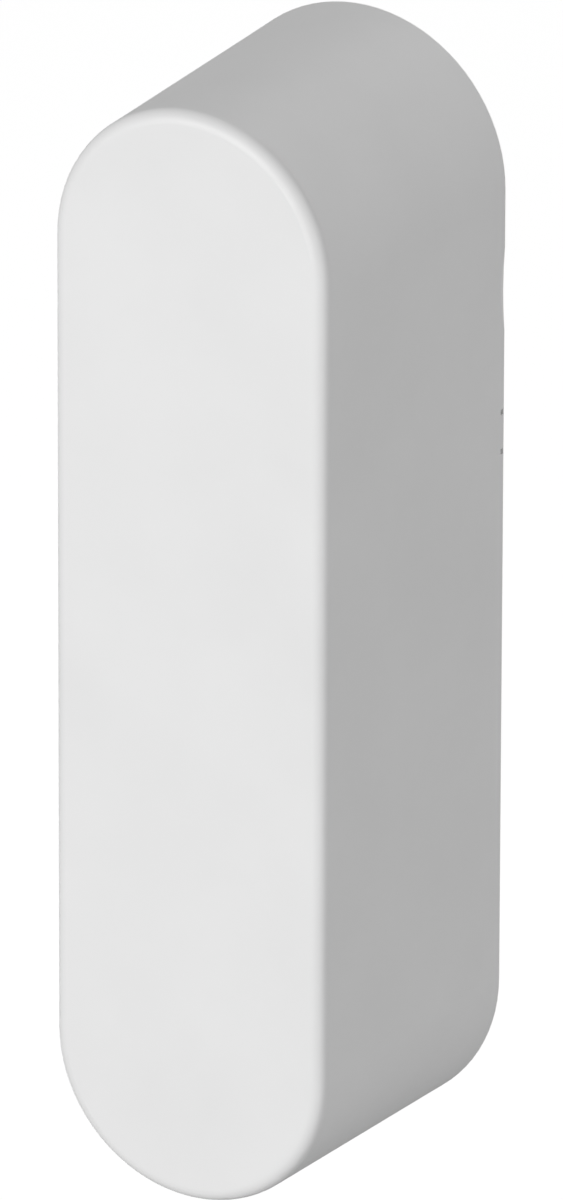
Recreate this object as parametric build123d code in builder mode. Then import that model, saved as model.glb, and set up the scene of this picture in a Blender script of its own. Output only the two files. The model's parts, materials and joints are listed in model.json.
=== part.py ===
"""Wireless door and window contact sensor: a plain pill-shaped battery unit for a door or window frame.

Frame: the wall plane is y = 0 and the plain front faces -Y. X runs across the width and Z up the length.
The origin is the centre of the adhesive pad's wall side. Heights are distances from the wall towards
the front, so a sketch at height h lies on Plane.XZ.offset(h), with X across and Z up.
All sizes are in millimetres.
"""

import os
from math import radians, sqrt, tan

from build123d import *

os.makedirs("parts", exist_ok=True)

# Case: a stadium outline whose side walls open out from the front face to the rear rim
front_height = 80.0
front_width = 21.4
case_depth = 23.4
draft = 1.9
front_edge_radius = 0.95
side_wall = 1.5
front_wall = 1.8
fit_gap = 0.15
slope = tan(radians(draft))

# Adhesive pad and the chassis plate that it is let into
pad_length = 58.0
pad_width = 14.0
pad_thickness = 0.8
pad_proud = 0.4
pad_margin = 0.1
plate_thickness = 1.6
skirt_wall = 1.1
skirt_above_board = 0.5
boss_height = 3.4
plate_under_pilot = 1.07
boss_radius = 2.1
rib_thickness = 0.9

# Circuit board
board_thickness = 1.0
board_gap = 0.2
tail_slot_play = 0.2
lead_hole_play = 0.1
peg_play = 0.05

# Cylindrical cell of the AAA size
cell_length = 44.5
cell_radius = 5.25
sleeve_thickness = 0.1
can_wall = 0.25
nub_radius = 1.85
nub_height = 0.9
cap_radius = 3.5
cap_thickness = 0.3
seal_inset = 0.55
seal_thickness = 0.21
nub_edge_radius = 0.3
sleeve_end_gap = 0.4

# Battery holder and contacts
holder_air = 1.8
holder_floor_thickness = 1.0
holder_side_wall = 0.8
cell_clearance = 0.1
end_wall = 1.0
end_wall_height = 9.6
trough_above_axis = 1.2
finger_cut_length = 20.0
finger_cut_depth = 4.0
rail_thickness = 0.9
contact_sheet = 0.3
contact_gap = 0.05
contact_slot_play = 0.1
contact_groove = 0.3
contact_height = 8.6
contact_corner = 1.2
tail_width = 2.0
tail_below_board = 0.7
spring_length = 3.0
spring_wire_radius = 0.25
spring_base_radius = 3.9
spring_cone_angle = -26.0
spring_turns = 3.5
spring_seat_gap = 0.02
bottom_tab_length = 4.5

# Screws that hold the holder and the board to the chassis
screw_radius = 0.8
screw_head_radius = 1.5
screw_head_height = 1.0
screw_length = 4.6
screw_pilot_gap = 0.05
screw_hole_gap = 0.25
recess_width = 0.45
recess_length = 1.7
recess_depth = 0.55
screw_end_inset = 2.3
screw_edge_inset = 2.17
screw_can_gap = 0.32
tab_thickness = 1.2
tab_overhang = 0.4
tab_corner = 0.6
tab_neck_overlap = 1.94
tab_neck_length = 1.6
left_tab_rise = 2.5

# Snap hooks and the pry notch beside one of them
hook_z = 22.1
hook_width = 6.2
hook_slot_play = 0.4
hook_thickness = 0.9
hook_bead = 0.6
hook_bead_height = 1.4
hook_bead_flat = 0.3
hook_stem = 5.0
hook_gap_level = 1.0
pocket_play = 0.15
scoop_chord = 6.2
scoop_depth = 0.12
scoop_run = 0.6
rim_lip = 0.08
pry_slot_length = 6.0
pry_slot_width = 1.3
pry_slot_depth = 0.9

# Sensing zone: two small blind nicks, just ahead of the rear rim, stand beside the reed switch's middle
sense_below_holder_top = 5.24
nick_spacing = 2.9
nick_drop = 0.35
nick_width = 0.42
nick_depth = 0.45
nick_run = 0.3

# Cover's inside
guide_rib_width = 1.0
guide_rib_depth = 0.8
guide_rib_z = 8.0
guide_rib_end_gap = 0.6
foam_length = 24.0
foam_width = 7.0
foam_corner = 1.0
foam_gap = 0.4
window_radius = 2.2
window_depth = 0.9

# Reed switch
reed_glass_length = 11.0
reed_glass_radius = 0.9
reed_glass_wall = 0.3
reed_seal = 1.2
reed_wire_radius = 0.22
reed_glass_end_radius = 0.54
reed_lead_reach = 2.6
reed_lead_below = 0.4
reed_lead_bend = 0.5
reed_stand_off = 1.3
reed_holder_gap = 0.11
blade_width = 0.8
blade_thickness = 0.16
blade_gap = 0.1
blade_overlap = 1.2
blade_root_gap = 0.03

# Push switch with its long button
switch_side = 4.5
switch_height = 1.8
switch_corner = 0.3
switch_gap = 0.35
switch_shell = 0.5
switch_roof = 0.3
switch_leg_length, switch_leg_width, switch_leg_height, switch_leg_pitch = 0.8, 0.6, 0.2, 3.0
plunger_radius = 1.0
plunger_flange = 1.4
plunger_rise = 0.6
plunger_play = 0.15
plunger_flange_play = 0.35
plunger_roof_gap = 0.1
plunger_dome_gap = 0.02
dome_radius = 1.45
dome_rise = 0.35
dome_sheet = 0.08
button_radius = 1.6
button_flange_radius = 2.1
button_flange_height = 0.8
button_length = 6.2
button_edge_radius = 0.4
guide_play = 0.15
guide_wall = 0.9
guide_height = 2.5
guide_lift = 0.5
guide_overlap = 0.25

# Light pipe
pipe_radius = 1.0
pipe_foot_length = 3.4
pipe_foot_width = 3.0
pipe_foot_height = 1.4
pipe_peg_radius = 0.35
pipe_peg_spacing = 2.6
pipe_end_gap = 0.3
pipe_end_radius = 0.3
pipe_foot_corner = 0.5
pipe_foot_roof = 0.4
pipe_peg_length = 0.9
pipe_above_holder = 7.7
led_length, led_width, led_height, led_play = 1.6, 0.8, 0.7, 0.2

# Board components
can_length, can_width, can_height, can_sheet = 7.6, 8.0, 1.8, 0.2
can_corner, can_edge_radius, can_switch_gap = 0.5, 0.15, 0.7
radio_side, radio_height = 5.0, 0.9
crystal_length, crystal_width, crystal_height, crystal_corner = 2.0, 2.5, 0.7, 0.25
crystal_gap, crystal_pipe_gap, crystal_below_can = 0.5, 0.32, 1.4
row_shift = -0.15
inductor_side, inductor_height, inductor_corner, inductor_chamfer = 3.0, 1.5, 0.6, 0.2
inductor_gap = 1.1
boost_length, boost_width, boost_height, boost_draft, boost_above_can = 2.9, 1.6, 1.1, 3.0, 2.4
boost_leg_width, boost_leg_reach, boost_leg_height, boost_leg_pitch = 0.4, 0.55, 0.25, 0.95
chip_length, chip_width, chip_terminal = 2.0, 1.25, 0.4
capacitor_height, resistor_height = 0.9, 0.6
terminal_proud = 0.03
chip_pitch = 3.6
strip_chip_count = 10
trace_width, trace_thickness, trace_pitch = 0.5, 0.07, 1.3
antenna_turns, antenna_height, antenna_end_gap, antenna_shift = 3, 3.2, 5.6, 4.6
test_pad_radius, test_pad_thickness, test_pad_count, test_pad_pitch = 0.6, 0.06, 5, 2.0

# Heights above the wall, from the rear to the front
rim = pad_proud
front = rim + case_depth
plate_top = rim + plate_thickness
board_rear = plate_top + boss_height
board_front = board_rear + board_thickness
skirt_top = board_front + skirt_above_board
holder_floor = board_front + holder_air
cell_axis = holder_floor + holder_floor_thickness + cell_clearance + cell_radius
cover_inner = front - front_wall
switch_top = board_front + switch_height
button_seat = switch_top + plunger_rise


def grown(size, height, inset):
    """Overall size of the drafted case outline at a height above the wall, less an inset all round."""
    return size + 2 * (front - height) * slope - 2 * inset


def outline(height, inset):
    """Adds the case's stadium outline at that height, drawn in by the inset, to the current sketch."""
    return SlotOverall(
        grown(front_height, height, inset), grown(front_width, height, inset), rotation=90
    )


# Board outline: inside the chassis skirt
chassis_inset = side_wall + fit_gap
skirt_inset = chassis_inset + skirt_wall
board_length = grown(front_height, skirt_top, skirt_inset + board_gap)
board_width = grown(front_width, skirt_top, skirt_inset + board_gap)
skirt_inner_length = board_length + 2 * board_gap
skirt_inner_width = board_width + 2 * board_gap

# Places up the length: the holder stands on the board's lower end, the electronics fill the upper end
holder_bottom = -board_length / 2 + bottom_tab_length
trough_bottom = holder_bottom + end_wall
cell_bottom = trough_bottom + contact_sheet + contact_slot_play + spring_length
cell_top = cell_bottom + cell_length
trough_top = cell_top + contact_gap + contact_sheet + contact_slot_play
holder_top = trough_top + end_wall
holder_width = 2 * (cell_radius + cell_clearance + holder_side_wall)
trough_width = holder_width - 2 * holder_side_wall
sense_z = holder_top - sense_below_holder_top
switch_z = holder_top + switch_side / 2 + switch_gap
row_width = pipe_foot_length + crystal_pipe_gap + crystal_width + crystal_gap + can_width
pipe_x = row_shift - row_width / 2 + pipe_foot_length / 2
pipe_z = holder_top + pipe_above_holder
can_x = row_shift + row_width / 2 - can_width / 2
can_z = switch_z + switch_side / 2 + can_length / 2 + can_switch_gap
crystal_x = can_x - can_width / 2 - crystal_width / 2 - crystal_gap
crystal_z = can_z - crystal_below_can
boost_x, boost_z = crystal_x, can_z + boost_above_can
inductor_x = pipe_x
inductor_z = pipe_z + pipe_foot_width / 2 + inductor_side / 2 + inductor_gap
antenna_bottom = board_length / 2 - antenna_end_gap
strip_x = (holder_width / 2 + board_width / 2) / 2
reed_x = holder_width / 2 + reed_glass_radius + reed_holder_gap
reed_height = board_front + reed_stand_off
bottom_screw = (0, -board_length / 2 + screw_end_inset)
left_screw = (-board_width / 2 + screw_end_inset, holder_top + left_tab_rise)
right_screw_z = can_z + can_length / 2 + screw_head_radius + screw_can_gap
past_arc_centre = max(0, right_screw_z - (board_length - board_width) / 2)
right_screw = (sqrt((board_width / 2 - screw_edge_inset) ** 2 - past_arc_centre**2), right_screw_z)
tab_screws = [bottom_screw, left_screw]
screws = [*tab_screws, right_screw]
hook_spots = [(side, level) for side in (-1, 1) for level in (-hook_z, hook_z)]
hook_face = grown(front_width, skirt_top + hook_gap_level, chassis_inset) / 2
hook_tip = plate_top + hook_stem
chip_levels = [trough_top - chip_length - i * chip_pitch for i in range(strip_chip_count)]
capacitor_spots = [(-strip_x, z) for z in chip_levels[::2]] + [(strip_x, chip_levels[7])]
resistor_spots = [(-strip_x, z) for z in chip_levels[1::2]] + [(strip_x, chip_levels[8])]
pad_levels = [chip_levels[4] - i * test_pad_pitch for i in range(test_pad_count)]
reed_hole_spots = [(reed_x, sense_z + s * (reed_glass_length / 2 + reed_lead_reach)) for s in (-1, 1)]
contact_levels = [
    trough_bottom + contact_sheet / 2,
    trough_top - contact_sheet / 2 - contact_slot_play,
]
peg_spots = [(pipe_x + s * pipe_peg_spacing / 2, pipe_z) for s in (-1, 1)]


# Tool shape of the grip: a leaning cylinder, deepest at the rim, that runs out ahead of it
rim_half = grown(front_width, rim, 0) / 2
scoop_radius = (scoop_chord**2 / 4 + scoop_depth**2) / (2 * scoop_depth)
scoop_plane = Plane(
    origin=(rim_half - scoop_depth, -rim, hook_z),
    x_dir=(0, 0, 1),
    z_dir=(scoop_depth, -scoop_run, 0),
)
with BuildPart() as scoop_cut:
    with BuildSketch(scoop_plane):
        with Locations((0, -scoop_radius)):
            Circle(scoop_radius)
    extrude(amount=2 * scoop_run, both=True)


# Front cover: one deep shell that hides everything and reaches to the rear rim
with BuildPart() as front_cover:
    with BuildSketch(Plane.XZ.offset(rim)):
        outline(rim, 0)
    extrude(amount=case_depth, taper=draft)
    fillet(front_cover.faces().sort_by(Axis.Y)[0].edges(), front_edge_radius)
    with BuildSketch(Plane.XZ.offset(rim)):
        outline(rim, side_wall)
    extrude(amount=case_depth - front_wall, taper=draft, mode=Mode.SUBTRACT)
    # ribs that stiffen the long walls, above the chassis skirt
    with BuildSketch(Plane.XZ.offset(cover_inner)):
        inner_half = grown(front_width, cover_inner, side_wall) / 2
        for side in (-1, 1):
            with Locations(*((side * inner_half, z) for z in (-guide_rib_z, guide_rib_z))):
                Rectangle(2 * guide_rib_depth, guide_rib_width)
    extrude(amount=-(cover_inner - skirt_top - guide_rib_end_gap))
    # pockets that the snap hooks catch in
    with BuildSketch(Plane.XZ.offset(hook_tip - hook_bead_height - pocket_play)):
        for side, level in hook_spots:
            with Locations((side * (hook_face + hook_bead + pocket_play - side_wall), level)):
                Rectangle(2 * side_wall, hook_width + hook_slot_play)
    extrude(amount=hook_bead_height + 2 * pocket_play, mode=Mode.SUBTRACT)
    # thinned spot in front of the light pipe
    with BuildSketch(Plane.XZ.offset(cover_inner)):
        with Locations((pipe_x, pipe_z)):
            Circle(window_radius)
    extrude(amount=window_depth, mode=Mode.SUBTRACT)
    # shallow scoop in the rim where the cover is prised off
    add(scoop_cut.part, mode=Mode.SUBTRACT)
    # two nicks that mark where the magnet goes
    with BuildSketch(Plane.XZ.offset(rim + rim_lip)):
        with Locations(*((rim_half, sense_z - nick_drop + s * nick_spacing / 2) for s in (-1, 1))):
            Rectangle(2 * nick_depth, nick_width)
    extrude(amount=nick_run, mode=Mode.SUBTRACT)


# Foam strip inside the cover that keeps the cell from rattling
with BuildPart() as foam_strip:
    with BuildSketch(Plane.XZ.offset(cover_inner)):
        with Locations((0, (cell_bottom + cell_top) / 2)):
            RectangleRounded(foam_width, foam_length, foam_corner)
    extrude(amount=-(cover_inner - cell_axis - cell_radius - foam_gap))

# Rear chassis: plate, skirt, screw bosses, cross ribs, hook slots, pad recess and pry slot
with BuildPart() as rear_chassis:
    with BuildSketch(Plane.XZ.offset(rim)):
        outline(rim, chassis_inset)
    extrude(amount=skirt_top - rim, taper=draft)
    with BuildSketch(Plane.XZ.offset(plate_top)):
        SlotOverall(skirt_inner_length, skirt_inner_width, rotation=90)
    extrude(amount=skirt_top - plate_top, mode=Mode.SUBTRACT)
    with BuildSketch(Plane.XZ.offset(plate_top)):
        with Locations(*screws):
            Circle(boss_radius)
        with Locations((0, -hook_z / 2), (0, hook_z / 2)):
            Rectangle(skirt_inner_width + rib_thickness, rib_thickness)
    extrude(amount=boss_height)
    with BuildSketch(Plane.XZ.offset(board_rear)):
        with Locations(*screws):
            Circle(screw_radius + screw_pilot_gap)
    extrude(amount=-(board_rear - rim - plate_under_pilot), mode=Mode.SUBTRACT)
    with BuildSketch(Plane.XZ.offset(plate_top)):
        for side, level in hook_spots:
            with Locations((side * (skirt_inner_width / 2 + skirt_wall), level)):
                Rectangle(2 * (skirt_wall + board_gap), hook_width + hook_slot_play)
    extrude(amount=skirt_top - plate_top, mode=Mode.SUBTRACT)
    with BuildSketch(Plane.XZ.offset(rim)):
        SlotOverall(pad_length + 2 * pad_margin, pad_width + 2 * pad_margin, rotation=90)
    extrude(amount=pad_thickness - pad_proud, mode=Mode.SUBTRACT)
    with BuildSketch(Plane.XZ.offset(rim)):
        with Locations((grown(front_width, rim, chassis_inset) / 2, hook_z)):
            Rectangle(2 * pry_slot_width, pry_slot_length)
    extrude(amount=pry_slot_depth, mode=Mode.SUBTRACT)

# Snap hooks: four springy tongues that stand in the skirt's slots and catch in the cover
with BuildPart() as snap_hooks:
    for side, level in hook_spots:
        with BuildSketch(Plane.XY.offset(level - hook_width / 2)):
            with BuildLine():
                Polyline(
                    (side * (hook_face - hook_thickness), -plate_top),
                    (side * hook_face, -plate_top),
                    (side * hook_face, -(hook_tip - hook_bead_height)),
                    (side * (hook_face + hook_bead), -(hook_tip - hook_bead_height)),
                    (side * (hook_face + hook_bead), -(hook_tip - hook_bead_height + hook_bead_flat)),
                    (side * hook_face, -hook_tip),
                    (side * (hook_face - hook_thickness), -hook_tip),
                    close=True,
                )
            make_face()
        extrude(amount=hook_width)

# Double-sided foam tape
with BuildPart() as adhesive_pad:
    with BuildSketch(Plane.XZ):
        SlotOverall(pad_length, pad_width, rotation=90)
    extrude(amount=pad_thickness)

# Circuit board with its holes
with BuildPart() as circuit_board:
    with BuildSketch(Plane.XZ.offset(board_rear)):
        SlotOverall(board_length, board_width, rotation=90)
        with Locations(*screws):
            Circle(screw_radius + screw_hole_gap, mode=Mode.SUBTRACT)
        with Locations(*((0, z) for z in contact_levels)):
            Rectangle(
                tail_width + 2 * tail_slot_play, contact_sheet + 2 * tail_slot_play, mode=Mode.SUBTRACT
            )
        with Locations(*reed_hole_spots):
            Circle(reed_wire_radius + lead_hole_play, mode=Mode.SUBTRACT)
        with Locations(*peg_spots):
            Circle(pipe_peg_radius + peg_play, mode=Mode.SUBTRACT)
    extrude(amount=board_thickness)

# Self-tapping screws: two through the holder's tabs, one straight onto the board
with BuildPart() as board_screws:
    for seat, spots in ((board_front + tab_thickness, tab_screws), (board_front, [right_screw])):
        with BuildSketch(Plane.XZ.offset(seat)):
            with Locations(*spots):
                Circle(screw_head_radius)
        heads = extrude(amount=screw_head_height)
        fillet(heads.faces().sort_by(Axis.Y)[0].edges(), screw_head_height / 2)
        with BuildSketch(Plane.XZ.offset(seat)):
            with Locations(*spots):
                Circle(screw_radius)
        extrude(amount=-screw_length)
        with BuildSketch(Plane.XZ.offset(seat + screw_head_height)):
            with Locations(*spots):
                Rectangle(recess_length, recess_width)
                Rectangle(recess_width, recess_length)
        extrude(amount=-recess_depth, mode=Mode.SUBTRACT)

# Battery holder: an open trough on two rails, with end walls, screw tabs and the button's guide
with BuildPart() as battery_holder:
    holder_length = holder_top - holder_bottom
    holder_middle = (holder_top + holder_bottom) / 2
    tab_side = 2 * (screw_head_radius + tab_overhang)
    with BuildSketch(Plane.XZ.offset(holder_floor)):
        with Locations((0, holder_middle)):
            Rectangle(holder_width, holder_length)
    extrude(amount=cell_axis + trough_above_axis - holder_floor)
    with BuildSketch(Plane.XZ.offset(board_front)):
        with Locations((0, holder_bottom + end_wall / 2), (0, holder_top - end_wall / 2)):
            Rectangle(holder_width, end_wall)
    extrude(amount=holder_air + end_wall_height)
    with BuildSketch(Plane.XZ.offset(board_front)):
        for side in (-1, 1):
            with Locations((side * (holder_width - rail_thickness) / 2, holder_middle)):
                Rectangle(rail_thickness, holder_length)
    extrude(amount=holder_air)
    # the cell's bed
    with BuildSketch(Plane.XY.offset(trough_bottom)):
        with Locations((0, -cell_axis)):
            Circle(trough_width / 2)
            Rectangle(trough_width, cell_radius * 2, align=(Align.CENTER, Align.MAX))
    extrude(amount=trough_top - trough_bottom, mode=Mode.SUBTRACT)
    # finger cuts in both side walls
    with BuildSketch(Plane.XZ.offset(cell_axis + trough_above_axis)):
        with Locations((0, (cell_bottom + cell_top) / 2)):
            Rectangle(2 * holder_width, finger_cut_length)
    extrude(amount=-finger_cut_depth, mode=Mode.SUBTRACT)
    # grooves and floor slots for the two contact sheets
    groove_width = trough_width + 2 * contact_groove
    with BuildSketch(Plane.XZ.offset(holder_floor + holder_floor_thickness)):
        for level in contact_levels:
            with Locations((0, level)):
                Rectangle(groove_width, contact_sheet + contact_slot_play)
    extrude(amount=end_wall_height, mode=Mode.SUBTRACT)
    with BuildSketch(Plane.XZ.offset(holder_floor)):
        for level in contact_levels:
            with Locations((0, level)):
                Rectangle(tail_width + 2 * contact_slot_play, contact_sheet + contact_slot_play)
    extrude(amount=holder_floor_thickness, mode=Mode.SUBTRACT)
    # screw tabs at the board's level
    with BuildSketch(Plane.XZ.offset(board_front)):
        with Locations(*tab_screws):
            RectangleRounded(tab_side, tab_side, tab_corner)
        with Locations((0, holder_bottom)):
            Rectangle(2 * screw_head_radius, tab_neck_length)
        with Locations((left_screw[0], holder_top)):
            neck_width = tab_neck_overlap - holder_width / 2 - left_screw[0]
            Rectangle(neck_width, tab_neck_length, align=(Align.MIN, Align.CENTER))
    extrude(amount=tab_thickness)
    with BuildSketch(Plane.XZ.offset(board_front)):
        with Locations(*tab_screws):
            Circle(screw_radius + screw_hole_gap)
    extrude(amount=tab_thickness, mode=Mode.SUBTRACT)
    # guide ring round the button, carried by the upper end wall
    guide_bottom = button_seat + button_flange_height + guide_lift
    with BuildSketch(Plane.XZ.offset(guide_bottom)):
        with Locations((0, switch_z)):
            Circle(button_radius + guide_play + guide_wall)
        with Locations((0, (holder_top + switch_z) / 2 - guide_overlap)):
            Rectangle(2 * button_radius, switch_z - holder_top + 2 * guide_overlap)
        with Locations((0, switch_z)):
            Circle(button_radius + guide_play, mode=Mode.SUBTRACT)
    extrude(amount=guide_height)

# Cell contacts: sheet metal plates with solder tails, and the coil spring of the negative end
contact_bottom = holder_floor + holder_floor_thickness + contact_slot_play
contact_width = trough_width + 2 * contact_groove - contact_slot_play
contacts = {}
for name, level in zip(("negative_contact", "positive_contact"), contact_levels):
    with BuildPart() as contact:
        with BuildSketch(Plane.XY.offset(level - contact_sheet / 2)):
            with Locations((0, -contact_bottom)):
                Rectangle(contact_width, contact_height, align=(Align.CENTER, Align.MAX))
            with Locations((0, -(board_rear - tail_below_board))):
                Rectangle(
                    tail_width,
                    contact_bottom - board_rear + tail_below_board,
                    align=(Align.CENTER, Align.MAX),
                )
        extrude(amount=contact_sheet)
        fillet(contact.edges().filter_by(Axis.Z).group_by(Axis.Y)[0], contact_corner)
    contacts[name] = contact

spring_bottom = trough_bottom + contact_sheet + spring_wire_radius + spring_seat_gap
spring_rise = cell_bottom - contact_gap - spring_wire_radius - spring_bottom
with BuildPart() as negative_spring:
    with BuildLine() as coil:
        Helix(
            pitch=spring_rise / spring_turns,
            height=spring_rise,
            radius=spring_base_radius,
            center=(0, -cell_axis, spring_bottom),
            cone_angle=spring_cone_angle,
        )
    with BuildSketch(Plane(origin=coil.line @ 0, z_dir=coil.line % 0)):
        Circle(spring_wire_radius)
    sweep(path=coil.line)

# The cell: nickel-plated can, packed core, sleeve, positive cap and the insulating ring round the cap
can_radius = cell_radius - sleeve_thickness
can_top = cell_top - nub_height - cap_thickness
with BuildPart() as cell_can:
    with BuildSketch(Plane.XY.offset(cell_bottom)):
        with Locations((0, -cell_axis)):
            Circle(can_radius)
    extrude(amount=can_top - cell_bottom)
    fillet(cell_can.edges().filter_by(GeomType.CIRCLE), sleeve_end_gap)
    with BuildSketch(Plane.XY.offset(cell_bottom + can_wall)):
        with Locations((0, -cell_axis)):
            Circle(can_radius - can_wall)
    extrude(amount=can_top - cell_bottom - 2 * can_wall, mode=Mode.SUBTRACT)

with BuildPart() as cell_core:
    with BuildSketch(Plane.XY.offset(cell_bottom + can_wall)):
        with Locations((0, -cell_axis)):
            Circle(can_radius - can_wall)
    extrude(amount=can_top - cell_bottom - 2 * can_wall)

with BuildPart() as cell_sleeve:
    with BuildSketch(Plane.XY.offset(cell_bottom + sleeve_end_gap)):
        with Locations((0, -cell_axis)):
            Circle(cell_radius)
            Circle(can_radius, mode=Mode.SUBTRACT)
    extrude(amount=can_top - cell_bottom - 2 * sleeve_end_gap)

with BuildPart() as cell_positive_cap:
    with BuildSketch(Plane.XY.offset(can_top)):
        with Locations((0, -cell_axis)):
            Circle(cap_radius)
    extrude(amount=cap_thickness)
    with BuildSketch(Plane.XY.offset(can_top + cap_thickness)):
        with Locations((0, -cell_axis)):
            Circle(nub_radius)
    extrude(amount=nub_height)
    fillet(cell_positive_cap.faces().sort_by(Axis.Z)[-1].edges(), nub_edge_radius)

with BuildPart() as cell_seal:
    with BuildSketch(Plane.XY.offset(can_top)):
        with Locations((0, -cell_axis)):
            Circle(can_radius - seal_inset)
            Circle(cap_radius, mode=Mode.SUBTRACT)
    extrude(amount=seal_thickness)

# Radio: shield can over the chip, crystal, printed antenna
with BuildPart() as rf_shield:
    with BuildSketch(Plane.XZ.offset(board_front)):
        with Locations((can_x, can_z)):
            RectangleRounded(can_width, can_length, can_corner)
    extrude(amount=can_height)
    fillet(rf_shield.faces().sort_by(Axis.Y)[0].edges(), can_edge_radius)
    with BuildSketch(Plane.XZ.offset(board_front)):
        with Locations((can_x, can_z)):
            Rectangle(can_width - 2 * can_sheet, can_length - 2 * can_sheet)
    extrude(amount=can_height - can_sheet, mode=Mode.SUBTRACT)

with BuildPart() as radio_chip:
    with BuildSketch(Plane.XZ.offset(board_front)):
        with Locations((can_x, can_z)):
            Rectangle(radio_side, radio_side)
    extrude(amount=radio_height)

with BuildPart() as quartz_crystal:
    with BuildSketch(Plane.XZ.offset(board_front)):
        with Locations((crystal_x, crystal_z)):
            RectangleRounded(crystal_width, crystal_length, crystal_corner)
    extrude(amount=crystal_height)

antenna_top = antenna_bottom + antenna_height
with BuildPart() as antenna_trace:
    with BuildSketch(Plane.XZ.offset(board_front)):
        with BuildLine():
            points = []
            for turn in range(antenna_turns):
                left = 2 * turn * trace_pitch - antenna_shift
                points += [(left, antenna_bottom), (left, antenna_top)]
                points += [(left + trace_pitch, antenna_top), (left + trace_pitch, antenna_bottom)]
            Polyline(*points, (points[-1][0] + trace_pitch, antenna_bottom))
        trace(line_width=trace_width)
    extrude(amount=trace_thickness)

# Power supply
with BuildPart() as power_inductor:
    with BuildSketch(Plane.XZ.offset(board_front)):
        with Locations((inductor_x, inductor_z)):
            RectangleRounded(inductor_side, inductor_side, inductor_corner)
    extrude(amount=inductor_height)
    chamfer(power_inductor.faces().sort_by(Axis.Y)[0].edges(), inductor_chamfer)

with BuildPart() as boost_chip:
    with BuildSketch(Plane.XZ.offset(board_front + boost_leg_height / 2)):
        with Locations((boost_x, boost_z)):
            Rectangle(boost_width, boost_length)
    extrude(amount=boost_height, taper=boost_draft)

with BuildPart() as boost_legs:
    with BuildSketch(Plane.XZ.offset(board_front)):
        for side in (-1, 1):
            with Locations((boost_x + side * (boost_width + boost_leg_reach) / 2, boost_z)):
                with GridLocations(1, boost_leg_pitch, 1, 3):
                    Rectangle(boost_leg_reach, boost_leg_width)
    extrude(amount=boost_leg_height)


def chip_bodies(spots, height):
    """A ceramic block for each spot, between its two terminals."""
    with BuildPart() as bodies:
        with BuildSketch(Plane.XZ.offset(board_front + terminal_proud)):
            with Locations(*spots):
                Rectangle(chip_width, chip_length - 2 * chip_terminal)
        extrude(amount=height)
    return bodies


def terminals(spots, height):
    """The tinned ends of every chip at these spots."""
    with BuildPart() as ends:
        with BuildSketch(Plane.XZ.offset(board_front)):
            with Locations(*spots):
                with GridLocations(1, chip_length - chip_terminal, 1, 2):
                    Rectangle(chip_width + 2 * terminal_proud, chip_terminal)
        extrude(amount=height + 2 * terminal_proud)
    return ends


chip_capacitors = chip_bodies(capacitor_spots, capacitor_height)
chip_resistors = chip_bodies(resistor_spots, resistor_height)
with BuildPart() as chip_terminals:
    add(terminals(capacitor_spots, capacitor_height).part)
    add(terminals(resistor_spots, resistor_height).part)

with BuildPart() as test_pads:
    with BuildSketch(Plane.XZ.offset(board_front)):
        with Locations(*((strip_x, z) for z in pad_levels)):
            Circle(test_pad_radius)
    extrude(amount=test_pad_thickness)

# Status light and the pipe that carries it to the cover
with BuildPart() as status_led:
    with BuildSketch(Plane.XZ.offset(board_front)):
        with Locations((pipe_x, pipe_z)):
            Rectangle(led_width, led_length)
    extrude(amount=led_height)

with BuildPart() as light_pipe:
    with BuildSketch(Plane.XZ.offset(board_front)):
        with Locations((pipe_x, pipe_z)):
            RectangleRounded(pipe_foot_length, pipe_foot_width, pipe_foot_corner)
    extrude(amount=pipe_foot_height)
    with BuildSketch(Plane.XZ.offset(board_front)):
        with Locations((pipe_x, pipe_z)):
            Circle(pipe_radius)
    extrude(amount=cover_inner - pipe_end_gap - board_front)
    fillet(light_pipe.faces().sort_by(Axis.Y)[0].edges(), pipe_end_radius)
    with BuildSketch(Plane.XZ.offset(board_front)):
        with Locations((pipe_x, pipe_z)):
            Rectangle(led_width + 2 * led_play, led_length + 2 * led_play)
    extrude(amount=pipe_foot_height - pipe_foot_roof, mode=Mode.SUBTRACT)
    with BuildSketch(Plane.XZ.offset(board_front)):
        with Locations(*peg_spots):
            Circle(pipe_peg_radius)
    extrude(amount=-pipe_peg_length)

# Push switch: housing, snap dome, plunger, legs, and the long button that stands on it
with BuildPart() as switch_base:
    with BuildSketch(Plane.XZ.offset(board_front)):
        with Locations((0, switch_z)):
            RectangleRounded(switch_side, switch_side, switch_corner)
    extrude(amount=switch_height)
    with BuildSketch(Plane.XZ.offset(board_front + switch_shell)):
        with Locations((0, switch_z)):
            Circle(plunger_flange + plunger_flange_play)
    extrude(amount=switch_height - switch_shell - switch_roof, mode=Mode.SUBTRACT)
    with BuildSketch(Plane.XZ.offset(switch_top)):
        with Locations((0, switch_z)):
            Circle(plunger_radius + plunger_play)
    extrude(amount=-switch_roof, mode=Mode.SUBTRACT)

dome_floor = board_front + switch_shell
dome_bend = (dome_radius**2 + dome_rise**2) / (2 * dome_rise)
with BuildPart() as switch_dome:
    with Locations((0, dome_bend - dome_floor - dome_rise, switch_z)):
        Sphere(dome_bend + dome_sheet)
        Sphere(dome_bend, mode=Mode.SUBTRACT)
    split(bisect_by=Plane.XZ.offset(dome_floor), keep=Keep.TOP)

plunger_bottom = dome_floor + dome_rise + dome_sheet + plunger_dome_gap
with BuildPart() as switch_plunger:
    with BuildSketch(Plane.XZ.offset(plunger_bottom)):
        with Locations((0, switch_z)):
            Circle(plunger_radius)
    extrude(amount=button_seat - plunger_bottom)
    with BuildSketch(Plane.XZ.offset(plunger_bottom)):
        with Locations((0, switch_z)):
            Circle(plunger_flange)
    extrude(amount=switch_top - switch_roof - plunger_roof_gap - plunger_bottom)

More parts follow.
